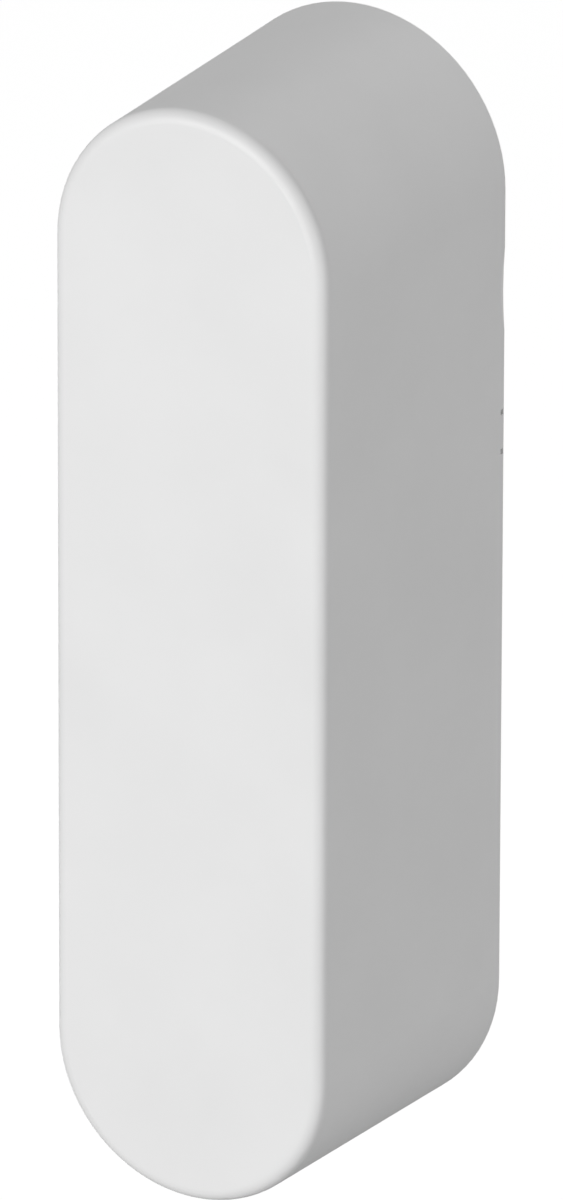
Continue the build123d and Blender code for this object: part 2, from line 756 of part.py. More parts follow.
with BuildPart() as switch_legs:
    with BuildSketch(Plane.XZ.offset(board_front)):
        for side in (-1, 1):
            with Locations((side * (switch_side + switch_leg_length) / 2, switch_z)):
                with GridLocations(1, switch_leg_pitch, 1, 2):
                    Rectangle(switch_leg_length, switch_leg_width)
    extrude(amount=switch_leg_height)

with BuildPart() as pairing_button:
    with BuildSketch(Plane.XZ.offset(button_seat)):
        with Locations((0, switch_z)):
            Circle(button_radius)
    extrude(amount=button_length)
    fillet(pairing_button.faces().sort_by(Axis.Y)[0].edges(), button_edge_radius)
    with BuildSketch(Plane.XZ.offset(button_seat)):
        with Locations((0, switch_z)):
            Circle(button_flange_radius)
    extrude(amount=button_flange_height)

# Reed switch: sealed glass tube, leads with the fixed blade, and the blade that moves
glass_bottom = sense_z - reed_glass_length / 2
glass_top = sense_z + reed_glass_length / 2
blade_length = reed_glass_length / 2 - reed_seal + blade_overlap / 2
with BuildPart() as reed_glass:
    with BuildSketch(Plane.XY.offset(glass_bottom)):
        with Locations((reed_x, -reed_height)):
            Circle(reed_glass_radius)
    extrude(amount=reed_glass_length)
    fillet(reed_glass.edges().filter_by(GeomType.CIRCLE), reed_glass_end_radius)
    with BuildSketch(Plane.XY.offset(glass_bottom + reed_seal)):
        with Locations((reed_x, -reed_height)):
            Circle(reed_glass_radius - reed_glass_wall)
    extrude(amount=reed_glass_length - 2 * reed_seal, mode=Mode.SUBTRACT)
    with BuildSketch(Plane.XY.offset(glass_bottom)):
        with Locations((reed_x, -reed_height)):
            Circle(reed_wire_radius)
    extrude(amount=reed_glass_length, mode=Mode.SUBTRACT)


with BuildPart() as reed_leads:
    for side in (-1, 1):
        hole = sense_z + side * (reed_glass_length / 2 + reed_lead_reach)
        inner = sense_z + side * (reed_glass_length / 2 - reed_seal)
        with BuildLine() as route:
            FilletPolyline(
                (reed_x, -(board_front - board_thickness - reed_lead_below), hole),
                (reed_x, -reed_height, hole),
                (reed_x, -reed_height, inner),
                radius=reed_lead_bend,
            )
        with BuildSketch(Plane(origin=route.line @ 0, z_dir=route.line % 0)):
            Circle(reed_wire_radius)
        sweep(path=route.line)
    fixed_height = reed_height - (blade_gap + blade_thickness) / 2
    with BuildSketch(Plane.XY.offset(glass_bottom + reed_seal)):
        with Locations((reed_x, -fixed_height)):
            Rectangle(blade_width, blade_thickness)
    extrude(amount=blade_length)

with BuildPart() as reed_blade:
    moving_height = reed_height + (blade_gap + blade_thickness) / 2
    with BuildSketch(Plane.XY.offset(glass_top - reed_seal - blade_root_gap)):
        with Locations((reed_x, -moving_height)):
            Rectangle(blade_width, blade_thickness)
    extrude(amount=-blade_length)


nodes = {
    "front_cover": front_cover,
    "foam_strip": foam_strip,
    "rear_chassis": rear_chassis,
    "snap_hooks": snap_hooks,
    "adhesive_pad": adhesive_pad,
    "circuit_board": circuit_board,
    "board_screws": board_screws,
    "battery_holder": battery_holder,
    **contacts,
    "negative_spring": negative_spring,
    "cell_can": cell_can,
    "cell_core": cell_core,
    "cell_sleeve": cell_sleeve,
    "cell_positive_cap": cell_positive_cap,
    "cell_seal": cell_seal,
    "rf_shield": rf_shield,
    "radio_chip": radio_chip,
    "quartz_crystal": quartz_crystal,
    "antenna_trace": antenna_trace,
    "power_inductor": power_inductor,
    "boost_chip": boost_chip,
    "boost_legs": boost_legs,
    "chip_capacitors": chip_capacitors,
    "chip_resistors": chip_resistors,
    "chip_terminals": chip_terminals,
    "test_pads": test_pads,
    "status_led": status_led,
    "light_pipe": light_pipe,
    "switch_base": switch_base,
    "switch_dome": switch_dome,
    "switch_plunger": switch_plunger,
    "switch_legs": switch_legs,
    "pairing_button": pairing_button,
    "reed_glass": reed_glass,
    "reed_leads": reed_leads,
    "reed_blade": reed_blade,
}
for name, made in nodes.items():
    made.part.label = name
    export_step(made.part, f"parts/{name}.step")
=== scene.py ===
import json
from math import cos, pi, radians, sin, sqrt

import bmesh
import bpy
from mathutils import Matrix, Vector


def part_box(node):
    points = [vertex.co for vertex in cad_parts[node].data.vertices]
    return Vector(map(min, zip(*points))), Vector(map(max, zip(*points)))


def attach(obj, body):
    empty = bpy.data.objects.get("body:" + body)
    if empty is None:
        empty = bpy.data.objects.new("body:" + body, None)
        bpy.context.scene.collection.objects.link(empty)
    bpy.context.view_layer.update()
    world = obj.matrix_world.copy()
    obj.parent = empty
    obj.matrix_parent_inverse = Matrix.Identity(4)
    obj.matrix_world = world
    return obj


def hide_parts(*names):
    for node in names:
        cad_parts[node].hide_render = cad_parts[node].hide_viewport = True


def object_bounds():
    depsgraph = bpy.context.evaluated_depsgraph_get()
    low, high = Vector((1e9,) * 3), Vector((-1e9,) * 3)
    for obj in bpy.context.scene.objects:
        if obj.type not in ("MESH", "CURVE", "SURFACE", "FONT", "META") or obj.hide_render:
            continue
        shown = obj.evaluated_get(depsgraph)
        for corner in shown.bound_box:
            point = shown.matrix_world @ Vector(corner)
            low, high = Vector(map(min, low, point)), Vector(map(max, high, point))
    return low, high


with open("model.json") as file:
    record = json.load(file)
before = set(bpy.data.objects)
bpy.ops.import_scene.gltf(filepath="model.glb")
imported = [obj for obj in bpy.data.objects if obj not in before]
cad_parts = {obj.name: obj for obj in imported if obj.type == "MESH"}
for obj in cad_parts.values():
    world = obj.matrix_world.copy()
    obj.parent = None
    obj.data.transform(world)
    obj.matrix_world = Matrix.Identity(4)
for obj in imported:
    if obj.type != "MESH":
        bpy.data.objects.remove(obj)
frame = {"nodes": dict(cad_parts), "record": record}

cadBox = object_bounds()
nodes = frame["nodes"]
slotOfNode = {part["node"]: part["material_slot"] for part in frame["record"]["subparts"]}
bodyOfNode = {node: body for body, names in frame["record"]["behaviour"]["bodies"].items() for node in names}
mm = 0.001


# camera

cameraSettings = {
    "azimuth": 30.3,  # degrees round the unit from straight in front, towards its right side
    "elevation": 21.5,
    "roll": 0.16,
    "distance": 1134.0,  # mm, from the middle of the case
    "lens": 493.0,
    "middle": (0.0, -12.1, 0.0),
    "aimRight": 0.52,  # mm that the unit sits left of and below the frame's middle
    "aimUp": 0.69,
}


def makeCamera(settings):
    azimuth = radians(settings["azimuth"])
    elevation = radians(settings["elevation"])
    back = Vector((sin(azimuth) * cos(elevation), -cos(azimuth) * cos(elevation), sin(elevation)))
    middle = Vector(settings["middle"]) * mm
    data = bpy.data.cameras.new("studioCamera")
    data.lens = settings["lens"]
    data.sensor_width = 36.0
    data.clip_start = 0.05
    data.clip_end = 50.0
    camera = bpy.data.objects.new("studioCamera", data)
    bpy.context.scene.collection.objects.link(camera)
    place = middle + back * settings["distance"] * mm
    turn = (-back).to_track_quat("-Z", "Y")
    offset = turn @ Vector((settings["aimRight"], settings["aimUp"], 0.0)) * mm
    look = (middle + offset - place).to_track_quat("-Z", "Y").to_matrix().to_4x4()
    roll = Matrix.Rotation(radians(settings["roll"]), 4, "Z")
    camera.matrix_world = Matrix.Translation(place) @ look @ roll
    bpy.context.scene.camera = camera


makeCamera(cameraSettings)
print("camera made")


# nodes and colours

def hexToLinear(code):
    channels = [int(code[start:start + 2], 16) / 255 for start in (1, 3, 5)]
    return [c / 12.92 if c <= 0.04045 else ((c + 0.055) / 1.055) ** 2.4 for c in channels] + [1.0]


def addNode(tree, kind, settings=None, links=None):
    node = tree.nodes.new(kind)
    for key, value in (settings or {}).items():
        if isinstance(key, int) or key in node.inputs:
            node.inputs[key].default_value = value
        else:
            setattr(node, key, value)
    for key, source in (links or {}).items():
        tree.links.new(source, node.inputs[key])
    return node


def startFinish(name, shaderSettings):
    material = bpy.data.materials.new(name)
    material.use_nodes = True
    tree = material.node_tree
    tree.nodes.clear()
    shader = addNode(tree, "ShaderNodeBsdfPrincipled", shaderSettings)
    addNode(tree, "ShaderNodeOutputMaterial", links={"Surface": shader.outputs["BSDF"]})
    place = addNode(tree, "ShaderNodeTexCoord").outputs["Object"]
    return material, tree, shader, place


def shadeBetween(tree, shader, amount, colour, other):
    # base colour that drifts from one colour to another
    mixed = addNode(
        tree, "ShaderNodeMix",
        {"data_type": "RGBA", 6: hexToLinear(colour), 7: hexToLinear(other)},
        {0: amount},
    )
    tree.links.new(mixed.outputs[2], shader.inputs["Base Color"])


def cloudy(tree, shader, place, colour, other, patch, low=0.4, high=0.7):
    # soft patches, patch mm across, of a second colour
    clouds = addNode(
        tree, "ShaderNodeTexNoise", {"Scale": 1 / (patch * mm), "Detail": 3.0}, {"Vector": place}
    )
    amount = addNode(
        tree, "ShaderNodeMapRange", {"From Min": low, "From Max": high}, {"Value": clouds.outputs[0]}
    )
    shadeBetween(tree, shader, amount.outputs[0], colour, other)


def skinned(tree, shader, height, roughness, swing, relief, strength=0.5):
    # the same fine pattern drives gloss and relief, relief in mm
    gloss = addNode(
        tree, "ShaderNodeMapRange",
        {"To Min": roughness - swing, "To Max": roughness + swing},
        {"Value": height},
    )
    tree.links.new(gloss.outputs[0], shader.inputs["Roughness"])
    bump = addNode(
        tree, "ShaderNodeBump", {"Strength": strength, "Distance": relief * mm}, {"Height": height}
    )
    tree.links.new(bump.outputs[0], shader.inputs["Normal"])


# studio

studioSettings = {
    "floorDrop": 1300.0,  # mm from the unit's lower end down to the floor
    "floorSize": 40.0,  # m
    "floorGlow": 0.75,
    "skyAbove": "#898989",
    "skyBelow": "#818181",
    "lights": {
        # name: (azimuth, elevation, distance m, size m, power W)
        "frontSoftbox": (-20.0, 10.0, 1.8, 1.2, 22.7),
        "rightFill": (80.0, 15.0, 1.8, 1.2, 5.4),
        "topFill": (180.0, 60.0, 1.8, 1.2, 2.9),
        "lowFill": (60.0, -30.0, 1.8, 1.2, 5.2),
        "rearSoftbox": (180.0, 10.0, 1.8, 1.2, 16.0),
    },
}


def makeFloor(settings):
    bm = bmesh.new()
    bmesh.ops.create_grid(bm, x_segments=1, y_segments=1, size=settings["floorSize"] / 2)
    bmesh.ops.translate(bm, verts=bm.verts, vec=(0, 0, cadBox[0].z - settings["floorDrop"] * mm))
    mesh = bpy.data.meshes.new("studioFloor")
    bm.to_mesh(mesh)
    bm.free()
    floor = bpy.data.objects.new("studioFloor", mesh)
    bpy.context.scene.collection.objects.link(floor)
    # seamless paper sweep: matt, pale and lit until it reads as white
    paper = startFinish("paleSeamlessPaper", {
        "Roughness": 0.9,
        "Base Color": hexToLinear("#F2F2F2"),
        "Emission Color": (1, 1, 1, 1),
        "Emission Strength": settings["floorGlow"],
    })[0]
    mesh.materials.append(paper)
    floor.visible_diffuse = False
    floor.visible_glossy = False


def makeSky(settings):
    world = bpy.data.worlds.new("softRoom")
    bpy.context.scene.world = world
    world.use_nodes = True
    tree = world.node_tree
    tree.nodes.clear()
    direction = addNode(tree, "ShaderNodeTexCoord").outputs["Generated"]
    height = addNode(tree, "ShaderNodeSeparateXYZ", links={0: direction}).outputs["Z"]
    amount = addNode(tree, "ShaderNodeMapRange", {"From Min": -0.6, "From Max": 0.4}, {"Value": height})
    room = addNode(
        tree, "ShaderNodeMix",
        {"data_type": "RGBA", 6: hexToLinear(settings["skyBelow"]), 7: hexToLinear(settings["skyAbove"])},
        {0: amount.outputs[0]},
    )
    seen = addNode(tree, "ShaderNodeLightPath").outputs["Is Camera Ray"]
    white = addNode(
        tree, "ShaderNodeMix", {"data_type": "RGBA", 7: (1, 1, 1, 1)}, {0: seen, 6: room.outputs[2]}
    )
    background = addNode(tree, "ShaderNodeBackground", links={"Color": white.outputs[2]})
    addNode(tree, "ShaderNodeOutputWorld", links={"Surface": background.outputs[0]})


def makeLights(settings):
    for name, (azimuth, elevation, distance, size, power) in settings["lights"].items():
        data = bpy.data.lights.new(name, "AREA")
        data.shape = "DISK"
        data.size = size
        data.energy = power
        light = bpy.data.objects.new(name, data)
        bpy.context.scene.collection.objects.link(light)
        a, e = radians(azimuth), radians(elevation)
        back = Vector((sin(a) * cos(e), -cos(a) * cos(e), sin(e)))
        turn = (-back).to_track_quat("-Z", "Y").to_matrix().to_4x4()
        light.matrix_world = Matrix.Translation(back * distance) @ turn


makeFloor(studioSettings)
makeSky(studioSettings)
makeLights(studioSettings)
bpy.context.scene.view_settings.view_transform = "Standard"
print("studio made")


# finishes

def mouldedPlastic(name, colour, deep, roughness, grain, relief, ior=1.53):
    # injection moulded in a spark-eroded tool: an even matt skin, and a faint drift of shade in the resin
    material, tree, shader, place = startFinish(name, {"IOR": ior})
    cloudy(tree, shader, place, colour, deep, patch=9.0, low=0.35, high=0.75)
    skin = addNode(
        tree, "ShaderNodeTexNoise", {"Scale": 1 / (grain * mm), "Detail": 3.0}, {"Vector": place}
    )
    skinned(tree, shader, skin.outputs[0], roughness, swing=0.06, relief=relief)
    return material


def workedMetal(name, colour, dull, roughness, grain, relief, stretch=(1, 1, 1)):
    # rolled, drawn or plated: streaks along its length and slightly duller patches
    material, tree, shader, place = startFinish(name, {"Metallic": 1.0})
    cloudy(tree, shader, place, colour, dull, patch=2.5)
    along = addNode(tree, "ShaderNodeMapping", {"Scale": stretch}, {"Vector": place})
    streaks = addNode(
        tree, "ShaderNodeTexNoise", {"Scale": 1 / (grain * mm), "Detail": 4.0}, {"Vector": along.outputs[0]}
    )
    skinned(tree, shader, streaks.outputs[0], roughness, swing=0.09, relief=relief, strength=0.4)
    return material


def cellFoam(name, colour, deep, bubble, relief):
    # blown foam: bubbles cut open at the faces, with painted shade darkening the pores
    material, tree, shader, place = startFinish(name, {"IOR": 1.5})
    bubbles = addNode(tree, "ShaderNodeTexVoronoi", {"Scale": 1 / (bubble * mm)}, {"Vector": place})
    poreDepthAndShade = addNode(
        tree, "ShaderNodeMapRange",
        {"From Min": 0.15, "From Max": 0.7},
        {"Value": bubbles.outputs["Distance"]},
    )
    # painted shade: the second colour darkens the pores wherever the bump sinks the surface
    shadeBetween(tree, shader, poreDepthAndShade.outputs[0], colour, deep)
    skinned(tree, shader, poreDepthAndShade.outputs[0], roughness=0.9, swing=0.05, relief=-relief, strength=0.8)
    return material


def firedCeramic(name, colour, deep, roughness, grain):
    # sintered or cured from powder: matt, with fine specks
    material, tree, shader, place = startFinish(name, {"IOR": 1.6})
    specks = addNode(
        tree, "ShaderNodeTexNoise", {"Scale": 1 / (grain * mm), "Detail": 5.0}, {"Vector": place}
    )
    amount = addNode(
        tree, "ShaderNodeMapRange", {"From Min": 0.35, "From Max": 0.7}, {"Value": specks.outputs[0]}
    )
    shadeBetween(tree, shader, amount.outputs[0], colour, deep)
    skinned(tree, shader, specks.outputs[0], roughness, swing=0.08, relief=0.01, strength=0.4)
    return material


def clearBody(name, colour, roughness, ior, ripple):
    # glass or cast acrylic: clear, with the faint ripple of a drawn or moulded surface
    material, tree, shader, place = startFinish(
        name, {"IOR": ior, "Transmission Weight": 1.0, "Base Color": hexToLinear(colour)}
    )
    waves = addNode(
        tree, "ShaderNodeTexNoise", {"Scale": 1 / (ripple * mm), "Detail": 1.0}, {"Vector": place}
    )
    skinned(tree, shader, waves.outputs[0], roughness + 0.03, swing=0.03, relief=0.01, strength=0.25)
    return material


def maskedBoard(name, mask, copper, planeFrom):
    # glass-epoxy laminate under cured solder mask: glossy, a faint weave, lighter over copper
    coat = {"IOR": 1.5, "Coat Weight": 0.35, "Coat Roughness": 0.18}
    material, tree, shader, place = startFinish(name, coat)
    threads = [
        addNode(
            tree, "ShaderNodeTexWave", {"Scale": 1 / (3.0 * mm), "Distortion": 0.4, "bands_direction": axis},
            {"Vector": place},
        ).outputs["Fac"]
        for axis in ("X", "Z")
    ]
    weave = addNode(tree, "ShaderNodeMath", {"operation": "MULTIPLY"}, {0: threads[0], 1: threads[1]})
    pours = addNode(tree, "ShaderNodeTexNoise", {"Scale": 1 / (5 * mm), "Detail": 0.0}, {"Vector": place})
    edge = addNode(
        tree, "ShaderNodeMapRange", {"From Min": planeFrom, "From Max": planeFrom + 0.01},
        {"Value": pours.outputs[0]},
    )
    lift = addNode(tree, "ShaderNodeMath", {"operation": "MULTIPLY", 1: 0.45}, {0: edge.outputs[0]})
    shade = addNode(
        tree, "ShaderNodeMath",
        {"operation": "MULTIPLY_ADD", 1: 0.25},
        {0: weave.outputs[0], 2: lift.outputs[0]},
    )
    shadeBetween(tree, shader, shade.outputs[0], mask, copper)
    skinned(tree, shader, weave.outputs[0], roughness=0.33, swing=0.06, relief=0.012, strength=0.3)
    return material


def glossyFilm(name, colour, band, bandFrom):
    # printed or siliconised film: glossy, with a second colour above bandFrom (mm) and faint ripples
    coat = {"IOR": 1.54, "Coat Weight": 0.5, "Coat Roughness": 0.12}
    material, tree, shader, place = startFinish(name, coat)
    height = addNode(tree, "ShaderNodeSeparateXYZ", links={0: place}).outputs["Z"]
    edge = addNode(
        tree, "ShaderNodeMapRange", {"From Min": bandFrom * mm, "From Max": (bandFrom + 0.1) * mm},
        {"Value": height},
    )
    shadeBetween(tree, shader, edge.outputs[0], colour, band)
    lengthways = addNode(tree, "ShaderNodeMapping", {"Scale": (1, 1, 0.25)}, {"Vector": place})
    film = addNode(
        tree, "ShaderNodeTexNoise",
        {"Scale": 1 / (1.2 * mm), "Detail": 2.0},
        {"Vector": lengthways.outputs[0]},
    )
    skinned(tree, shader, film.outputs[0], roughness=0.3, swing=0.08, relief=0.03, strength=0.3)
    return material


finishes = {
    # ABS: white, matt all over, so the light falls off it softly
    "case_plastic": mouldedPlastic("sparkErodedWhiteAbs", "#EFEFEF", "#ECECEC", 0.5, 0.22, 0.006),
    # the same ABS from a smoother tool: a little glossier and warmer
    "chassis_plastic": mouldedPlastic("satinWhiteAbs", "#E9E9E7", "#E4E4E1", 0.42, 0.3, 0.006),
    # closed-cell acrylic foam: pale grey, tiny bubbles darkened by painted shade
    "foam_tape": cellFoam("acrylicFoamTape", "#D9D9D4", "#B0B0AA", 0.16, 0.02),
    # open-cell urethane foam: charcoal, pores that show through painted shade
    "packing_foam": cellFoam("openCellUrethaneFoam", "#4C4D50", "#17181A", 0.42, 0.12),
    # FR-4 under green mask
    "board_laminate": maskedBoard("greenMaskedLaminate", "#0E4429", "#1F6C42", 0.5),
    # zinc plate: bright with a warm cast
    "screw_steel": workedMetal("zincPlatedSteel", "#C9C7C1", "#A9A69C", 0.3, 0.25, 0.01),
    # black ABS from a satin tool
    "holder_plastic": mouldedPlastic("satinBlackAbs", "#1B1C1E", "#131415", 0.44, 0.28, 0.008),
    # nickel plate on rolled strip: streaks up its length
    "contact_nickel": workedMetal("nickelPlatedStrip", "#D3CEC3", "#B7B1A4", 0.26, 0.2, 0.008, (1, 0.08, 1)),
    # nickel plate on drawn wire
    "spring_steel": workedMetal("nickelPlatedSpringWire", "#CFC9BD", "#A8A295", 0.24, 0.12, 0.006, (1, 1, 3)),
    # nickel-plated steel, deep drawn: streaks along the can
    "cell_steel": workedMetal("deepDrawnNickelSteel", "#DAD6CC", "#BDB8AB", 0.22, 0.3, 0.008, (1, 1, 0.1)),
    # pressed manganese oxide: black and dry; the same black is also the painted shade in the via holes and
    # the shield can's slits
    "cell_mix": firedCeramic("pressedOxideAndPaintedShade", "#1A1A1B", "#0E0E0E", 0.8, 0.2),
    # PVC film shrunk on the cell: near black, a copper band at the positive end
    "cell_jacket": glossyFilm("shrunkPvcFilm", "#23262B", "#B4693A", 5.2),
    # nylon 6: ivory, slightly soft looking
    "seal_nylon": mouldedPlastic("mouldedNylonSeal", "#CFC7B2", "#BDB59F", 0.55, 0.2, 0.01),
    # tin plate on cold-rolled sheet: soft grey sheen, rolling lines
    "shield_tin": workedMetal("tinPlatedSteelSheet", "#CFCFCC", "#B2B2AE", 0.34, 0.25, 0.01, (0.1, 1, 1)),
    # silica-filled epoxy: near black, dry, faintly gritty
    "chip_epoxy": mouldedPlastic("silicaFilledEpoxy", "#1D1D1F", "#161617", 0.6, 0.12, 0.012, 1.55),
    # nickel-iron sheet, stamped
    "crystal_lid": workedMetal("stampedNickelIron", "#D8D3C4", "#BAB4A2", 0.24, 0.15, 0.006, (0.15, 1, 1)),
    # immersion gold on copper
    "gold_plate": workedMetal("immersionGold", "#E5BE6B", "#C99A45", 0.28, 0.15, 0.006),
    # ferrite powder, pressed and fired: dark grey, dry
    "ferrite": firedCeramic("sinteredFerrite", "#3B3C3F", "#2A2B2D", 0.6, 0.12),
    # barium titanate: tan, faintly glazed
    "capacitor_ceramic": firedCeramic("firedBariumTitanate", "#A98559", "#8E6D45", 0.42, 0.15),
    # black glass overglaze
    "resistor_coat": firedCeramic("blackOverglaze", "#17171A", "#0F0F11", 0.35, 0.15),
    # tin solder after the oven: bright with soft dimples
    "solder_tin": workedMetal("reflowedTinSolder", "#D6D6D3", "#B4B4B0", 0.2, 0.35, 0.02),
    # silicone resin with yellow phosphor
    "led_epoxy": firedCeramic("yellowPhosphorResin", "#E8DFA0", "#D9CC7C", 0.3, 0.15),
    # moulded acrylic: clear and polished
    "clear_acrylic": clearBody("mouldedClearAcrylic", "#F6FAFB", 0.02, 1.49, 1.6),
    # glass-filled nylon: black, dull
    "switch_body": mouldedPlastic("blackGlassFilledNylon", "#1C1C1E", "#141415", 0.5, 0.15, 0.01),
    # unfilled nylon: off-white, soft sheen
    "plunger_nylon": mouldedPlastic("mouldedNaturalNylon", "#D8D4C8", "#C9C5B7", 0.5, 0.2, 0.008),
    # grey ABS from a satin tool
    "button_plastic": mouldedPlastic("satinGreyAbs", "#8C9094", "#82868A", 0.42, 0.22, 0.008),
    # stainless spring strip: bright, close to a mirror
    "dome_steel": workedMetal("stampedSpringSteel", "#D1CEC6", "#B3B0A7", 0.2, 0.2, 0.006),
    # soda glass, melted shut at its ends
    "reed_tube": clearBody("sealedSodaGlass", "#E6F3EA", 0.01, 1.52, 1.1),
    # nickel-iron wire, plated: drawn lines along it
    "reed_alloy": workedMetal("platedNickelIron", "#C9C3B6", "#A7A193", 0.3, 0.1, 0.005, (1, 1, 0.1)),
}
extraFinishes = {
    # siliconised polyester film: pale blue and glossy
    "liner": glossyFilm("siliconisedPolyesterFilm", "#A9C3D6", "#A3BED2", 0.0),
    # copper under the mask: the board's green, lighter
    "track": maskedBoard("maskedCopperTrack", "#1F6C42", "#2C8453", 0.5),
    # screen-printed epoxy ink: flat white, a little broken
    "ink": firedCeramic("screenPrintedWhiteInk", "#E4E6E2", "#C4CBC4", 0.6, 0.25),
    # enamelled copper wire: red-brown under a clear coat
    "wire": workedMetal("enamelledCopperWire", "#C4713F", "#A5572B", 0.25, 0.2, 0.004),
    # alumina: off-white, dense
    "alumina": firedCeramic("sinteredAlumina", "#D9D2C3", "#C8C0AE", 0.5, 0.12),
    # filled moulding resin: white, matt
    "package": firedCeramic("mouldedWhiteResin", "#E8E8E4", "#D8D8D3", 0.45, 0.12),
}

for nodeName, nodeObject in nodes.items():
    nodeObject.data.materials.clear()
    nodeObject.data.materials.append(finishes[slotOfNode[nodeName]])
print("finishes made and assigned")


# making pieces, in mm; heights are measured from the wall, so a height h lies at y = -h

def boxOf(node):
    low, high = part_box(node)
    return low / mm, high / mm


def solidsOf(node):
    # the boxes of the separate solids in one node
    bm = bmesh.new()
    bm.from_mesh(nodes[node].data)
    bmesh.ops.remove_doubles(bm, verts=bm.verts, dist=0.001 * mm)
    bm.verts.index_update()
    boxes, seen = [], set()
    for first in bm.verts:
        if first.index in seen:
            continue
        seen.add(first.index)
        group = [first]
        for vert in group:
            for other in (edge.other_vert(vert) for edge in vert.link_edges):
                if other.index not in seen:
                    seen.add(other.index)
                    group.append(other)
        corners = [[pick(vert.co[axis] for vert in group) / mm for axis in range(3)] for pick in (min, max)]
        boxes.append((Vector(corners[0]), Vector(corners[1])))
    bm.free()
    return sorted(boxes, key=lambda box: (box[0].x, box[0].z))


def soften(bm, width, segments=2, crease=28):
    sharp = [e for e in bm.edges if len(e.link_faces) == 2 and e.calc_face_angle() > radians(crease)]
    bmesh.ops.bevel(
        bm, geom=sharp, offset=width, offset_type="OFFSET", segments=segments, profile=0.5, affect="EDGES",
        material=-1, clamp_overlap=True,
    )


def finishPiece(name, bm, material, body, replaced=(), crease=35, outwards=True):
    if outwards:
        bmesh.ops.recalc_face_normals(bm, faces=bm.faces)
    bmesh.ops.scale(bm, verts=bm.verts, vec=(mm, mm, mm))
    mesh = bpy.data.meshes.new(name)
    bm.to_mesh(mesh)
    bm.free()
    mesh.polygons.foreach_set("use_smooth", [True] * len(mesh.polygons))
    mesh.set_sharp_from_angle(angle=radians(crease))
    mesh.materials.append(material)
    piece = bpy.data.objects.new(name, mesh)
    bpy.context.scene.collection.objects.link(piece)
    weighted = piece.modifiers.new("flatFaces", "WEIGHTED_NORMAL")
    weighted.keep_sharp = True
    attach(piece, body)
    if replaced:
        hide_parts(*replaced)
    return piece


def copyOf(node):
    # a merged copy of a node's mesh, its flat faces joined up
    bm = bmesh.new()
    bm.from_mesh(nodes[node].data)
    bmesh.ops.scale(bm, verts=bm.verts, vec=(1 / mm, 1 / mm, 1 / mm))
    mergeClose(bm)
    bmesh.ops.dissolve_limit(bm, angle_limit=radians(0.4), verts=bm.verts, edges=bm.edges)
    return bm


def vertsIn(geometry):
    return [part for part in geometry if isinstance(part, bmesh.types.BMVert)]


def mergeClose(bm):
    bmesh.ops.remove_doubles(bm, verts=bm.verts, dist=0.0005)


def roundUpright(bm, radius, segments):
    # rounds the edges that stand away from the wall
    upright = [e for e in bm.edges if abs(e.verts[0].co.y - e.verts[1].co.y) > 0.01]
    bmesh.ops.bevel(
        bm, geom=upright, offset=radius, segments=segments, profile=0.5, affect="EDGES", material=-1
    )


def addBlock(bm, low, high):
    middle = (Vector(low) + Vector(high)) / 2
    size = Vector(high) - Vector(low)
    place = Matrix.Translation(middle) @ Matrix.Diagonal((*size, 1))
    return bmesh.ops.create_cube(bm, size=1.0, matrix=place)["verts"]


def addStadium(bm, width, length, bottom, top, steps=96):
    place = Matrix.Rotation(pi / 2, 4, "X") @ Matrix.Rotation(pi / steps, 4, "Z")
    disc = bmesh.ops.create_circle(
        bm, cap_ends=True, segments=steps, radius=width / 2 / cos(pi / steps), matrix=place
    )["verts"]
    for vert in disc:
        vert.co.z += (length - width) / 2 * (1 if vert.co.z > 0 else -1)
        vert.co.y = -bottom
    raised = bmesh.ops.extrude_face_region(bm, geom=list(disc[0].link_faces))["geom"]
    bmesh.ops.translate(bm, verts=vertsIn(raised), vec=(0, bottom - top, 0))


def addTurned(bm, profile, centre, axis, steps=32, closed=True):
    # a profile of (radius, height) points spun about Y, or of (radius, z) points about Z
    x, across = centre
    points = [(x + r, -a, across) if axis == "Y" else (x + r, -across, a) for r, a in profile]
    verts = [bm.verts.new(point) for point in points]
    pairs = list(zip(verts, verts[1:])) + ([(verts[-1], verts[0])] if closed else [])
    edges = [bm.edges.new(pair) for pair in pairs]
    bmesh.ops.spin(
        bm, geom=verts + edges, cent=(x, 0, across) if axis == "Y" else (x, -across, 0),
        axis=(0, 1, 0) if axis == "Y" else (0, 0, 1), angle=2 * pi, steps=steps, use_merge=True,
    )


def addRod(bm, radius, bottom, top, spot, steps):
    # a solid cylinder that stands away from the wall
    addTurned(bm, [(0, bottom), (radius, bottom), (radius, top), (0, top)], spot, "Y", steps, False)


def addPath(bm, points, bottom, top, closed=False):
    # a low wall along a path on the board, which solidify then gives its width
    verts = [bm.verts.new((x, -bottom, z)) for x, z in points]
    pairs = list(zip(verts, verts[1:])) + ([(verts[-1], verts[0])] if closed else [])
    raised = bmesh.ops.extrude_edge_only(bm, edges=[bm.edges.new(pair) for pair in pairs])["geom"]
    bmesh.ops.translate(bm, verts=vertsIn(raised), vec=(0, bottom - top, 0))


def thicken(bm, width):
    bmesh.ops.recalc_face_normals(bm, faces=bm.faces)
    bmesh.ops.solidify(bm, geom=bm.faces[:], thickness=width)


def cutAway(piece, cutter):
    # takes a second shape, in mm, out of a piece
    bmesh.ops.recalc_face_normals(cutter, faces=cutter.faces)
    bmesh.ops.scale(cutter, verts=cutter.verts, vec=(mm, mm, mm))
    mesh = bpy.data.meshes.new("cutter")
    cutter.to_mesh(mesh)
    cutter.free()
    tool = bpy.data.objects.new("cutter", mesh)
    bpy.context.scene.collection.objects.link(tool)
    cut = piece.modifiers.new("cut", "BOOLEAN")
    cut.object = tool
    cut.solver = "EXACT"
    piece.modifiers.move(len(piece.modifiers) - 1, 0)
    weighted = piece.modifiers["flatFaces"]
    weighted.show_viewport = False
    made = bpy.data.meshes.new_from_object(piece.evaluated_get(bpy.context.evaluated_depsgraph_get()))
    weighted.show_viewport = True
    piece.modifiers.remove(cut)
    piece.data = made
    bpy.data.objects.remove(tool)
    made.set_sharp_from_angle(angle=radians(35))


# adhesive pad: foam core, and a release liner in two halves

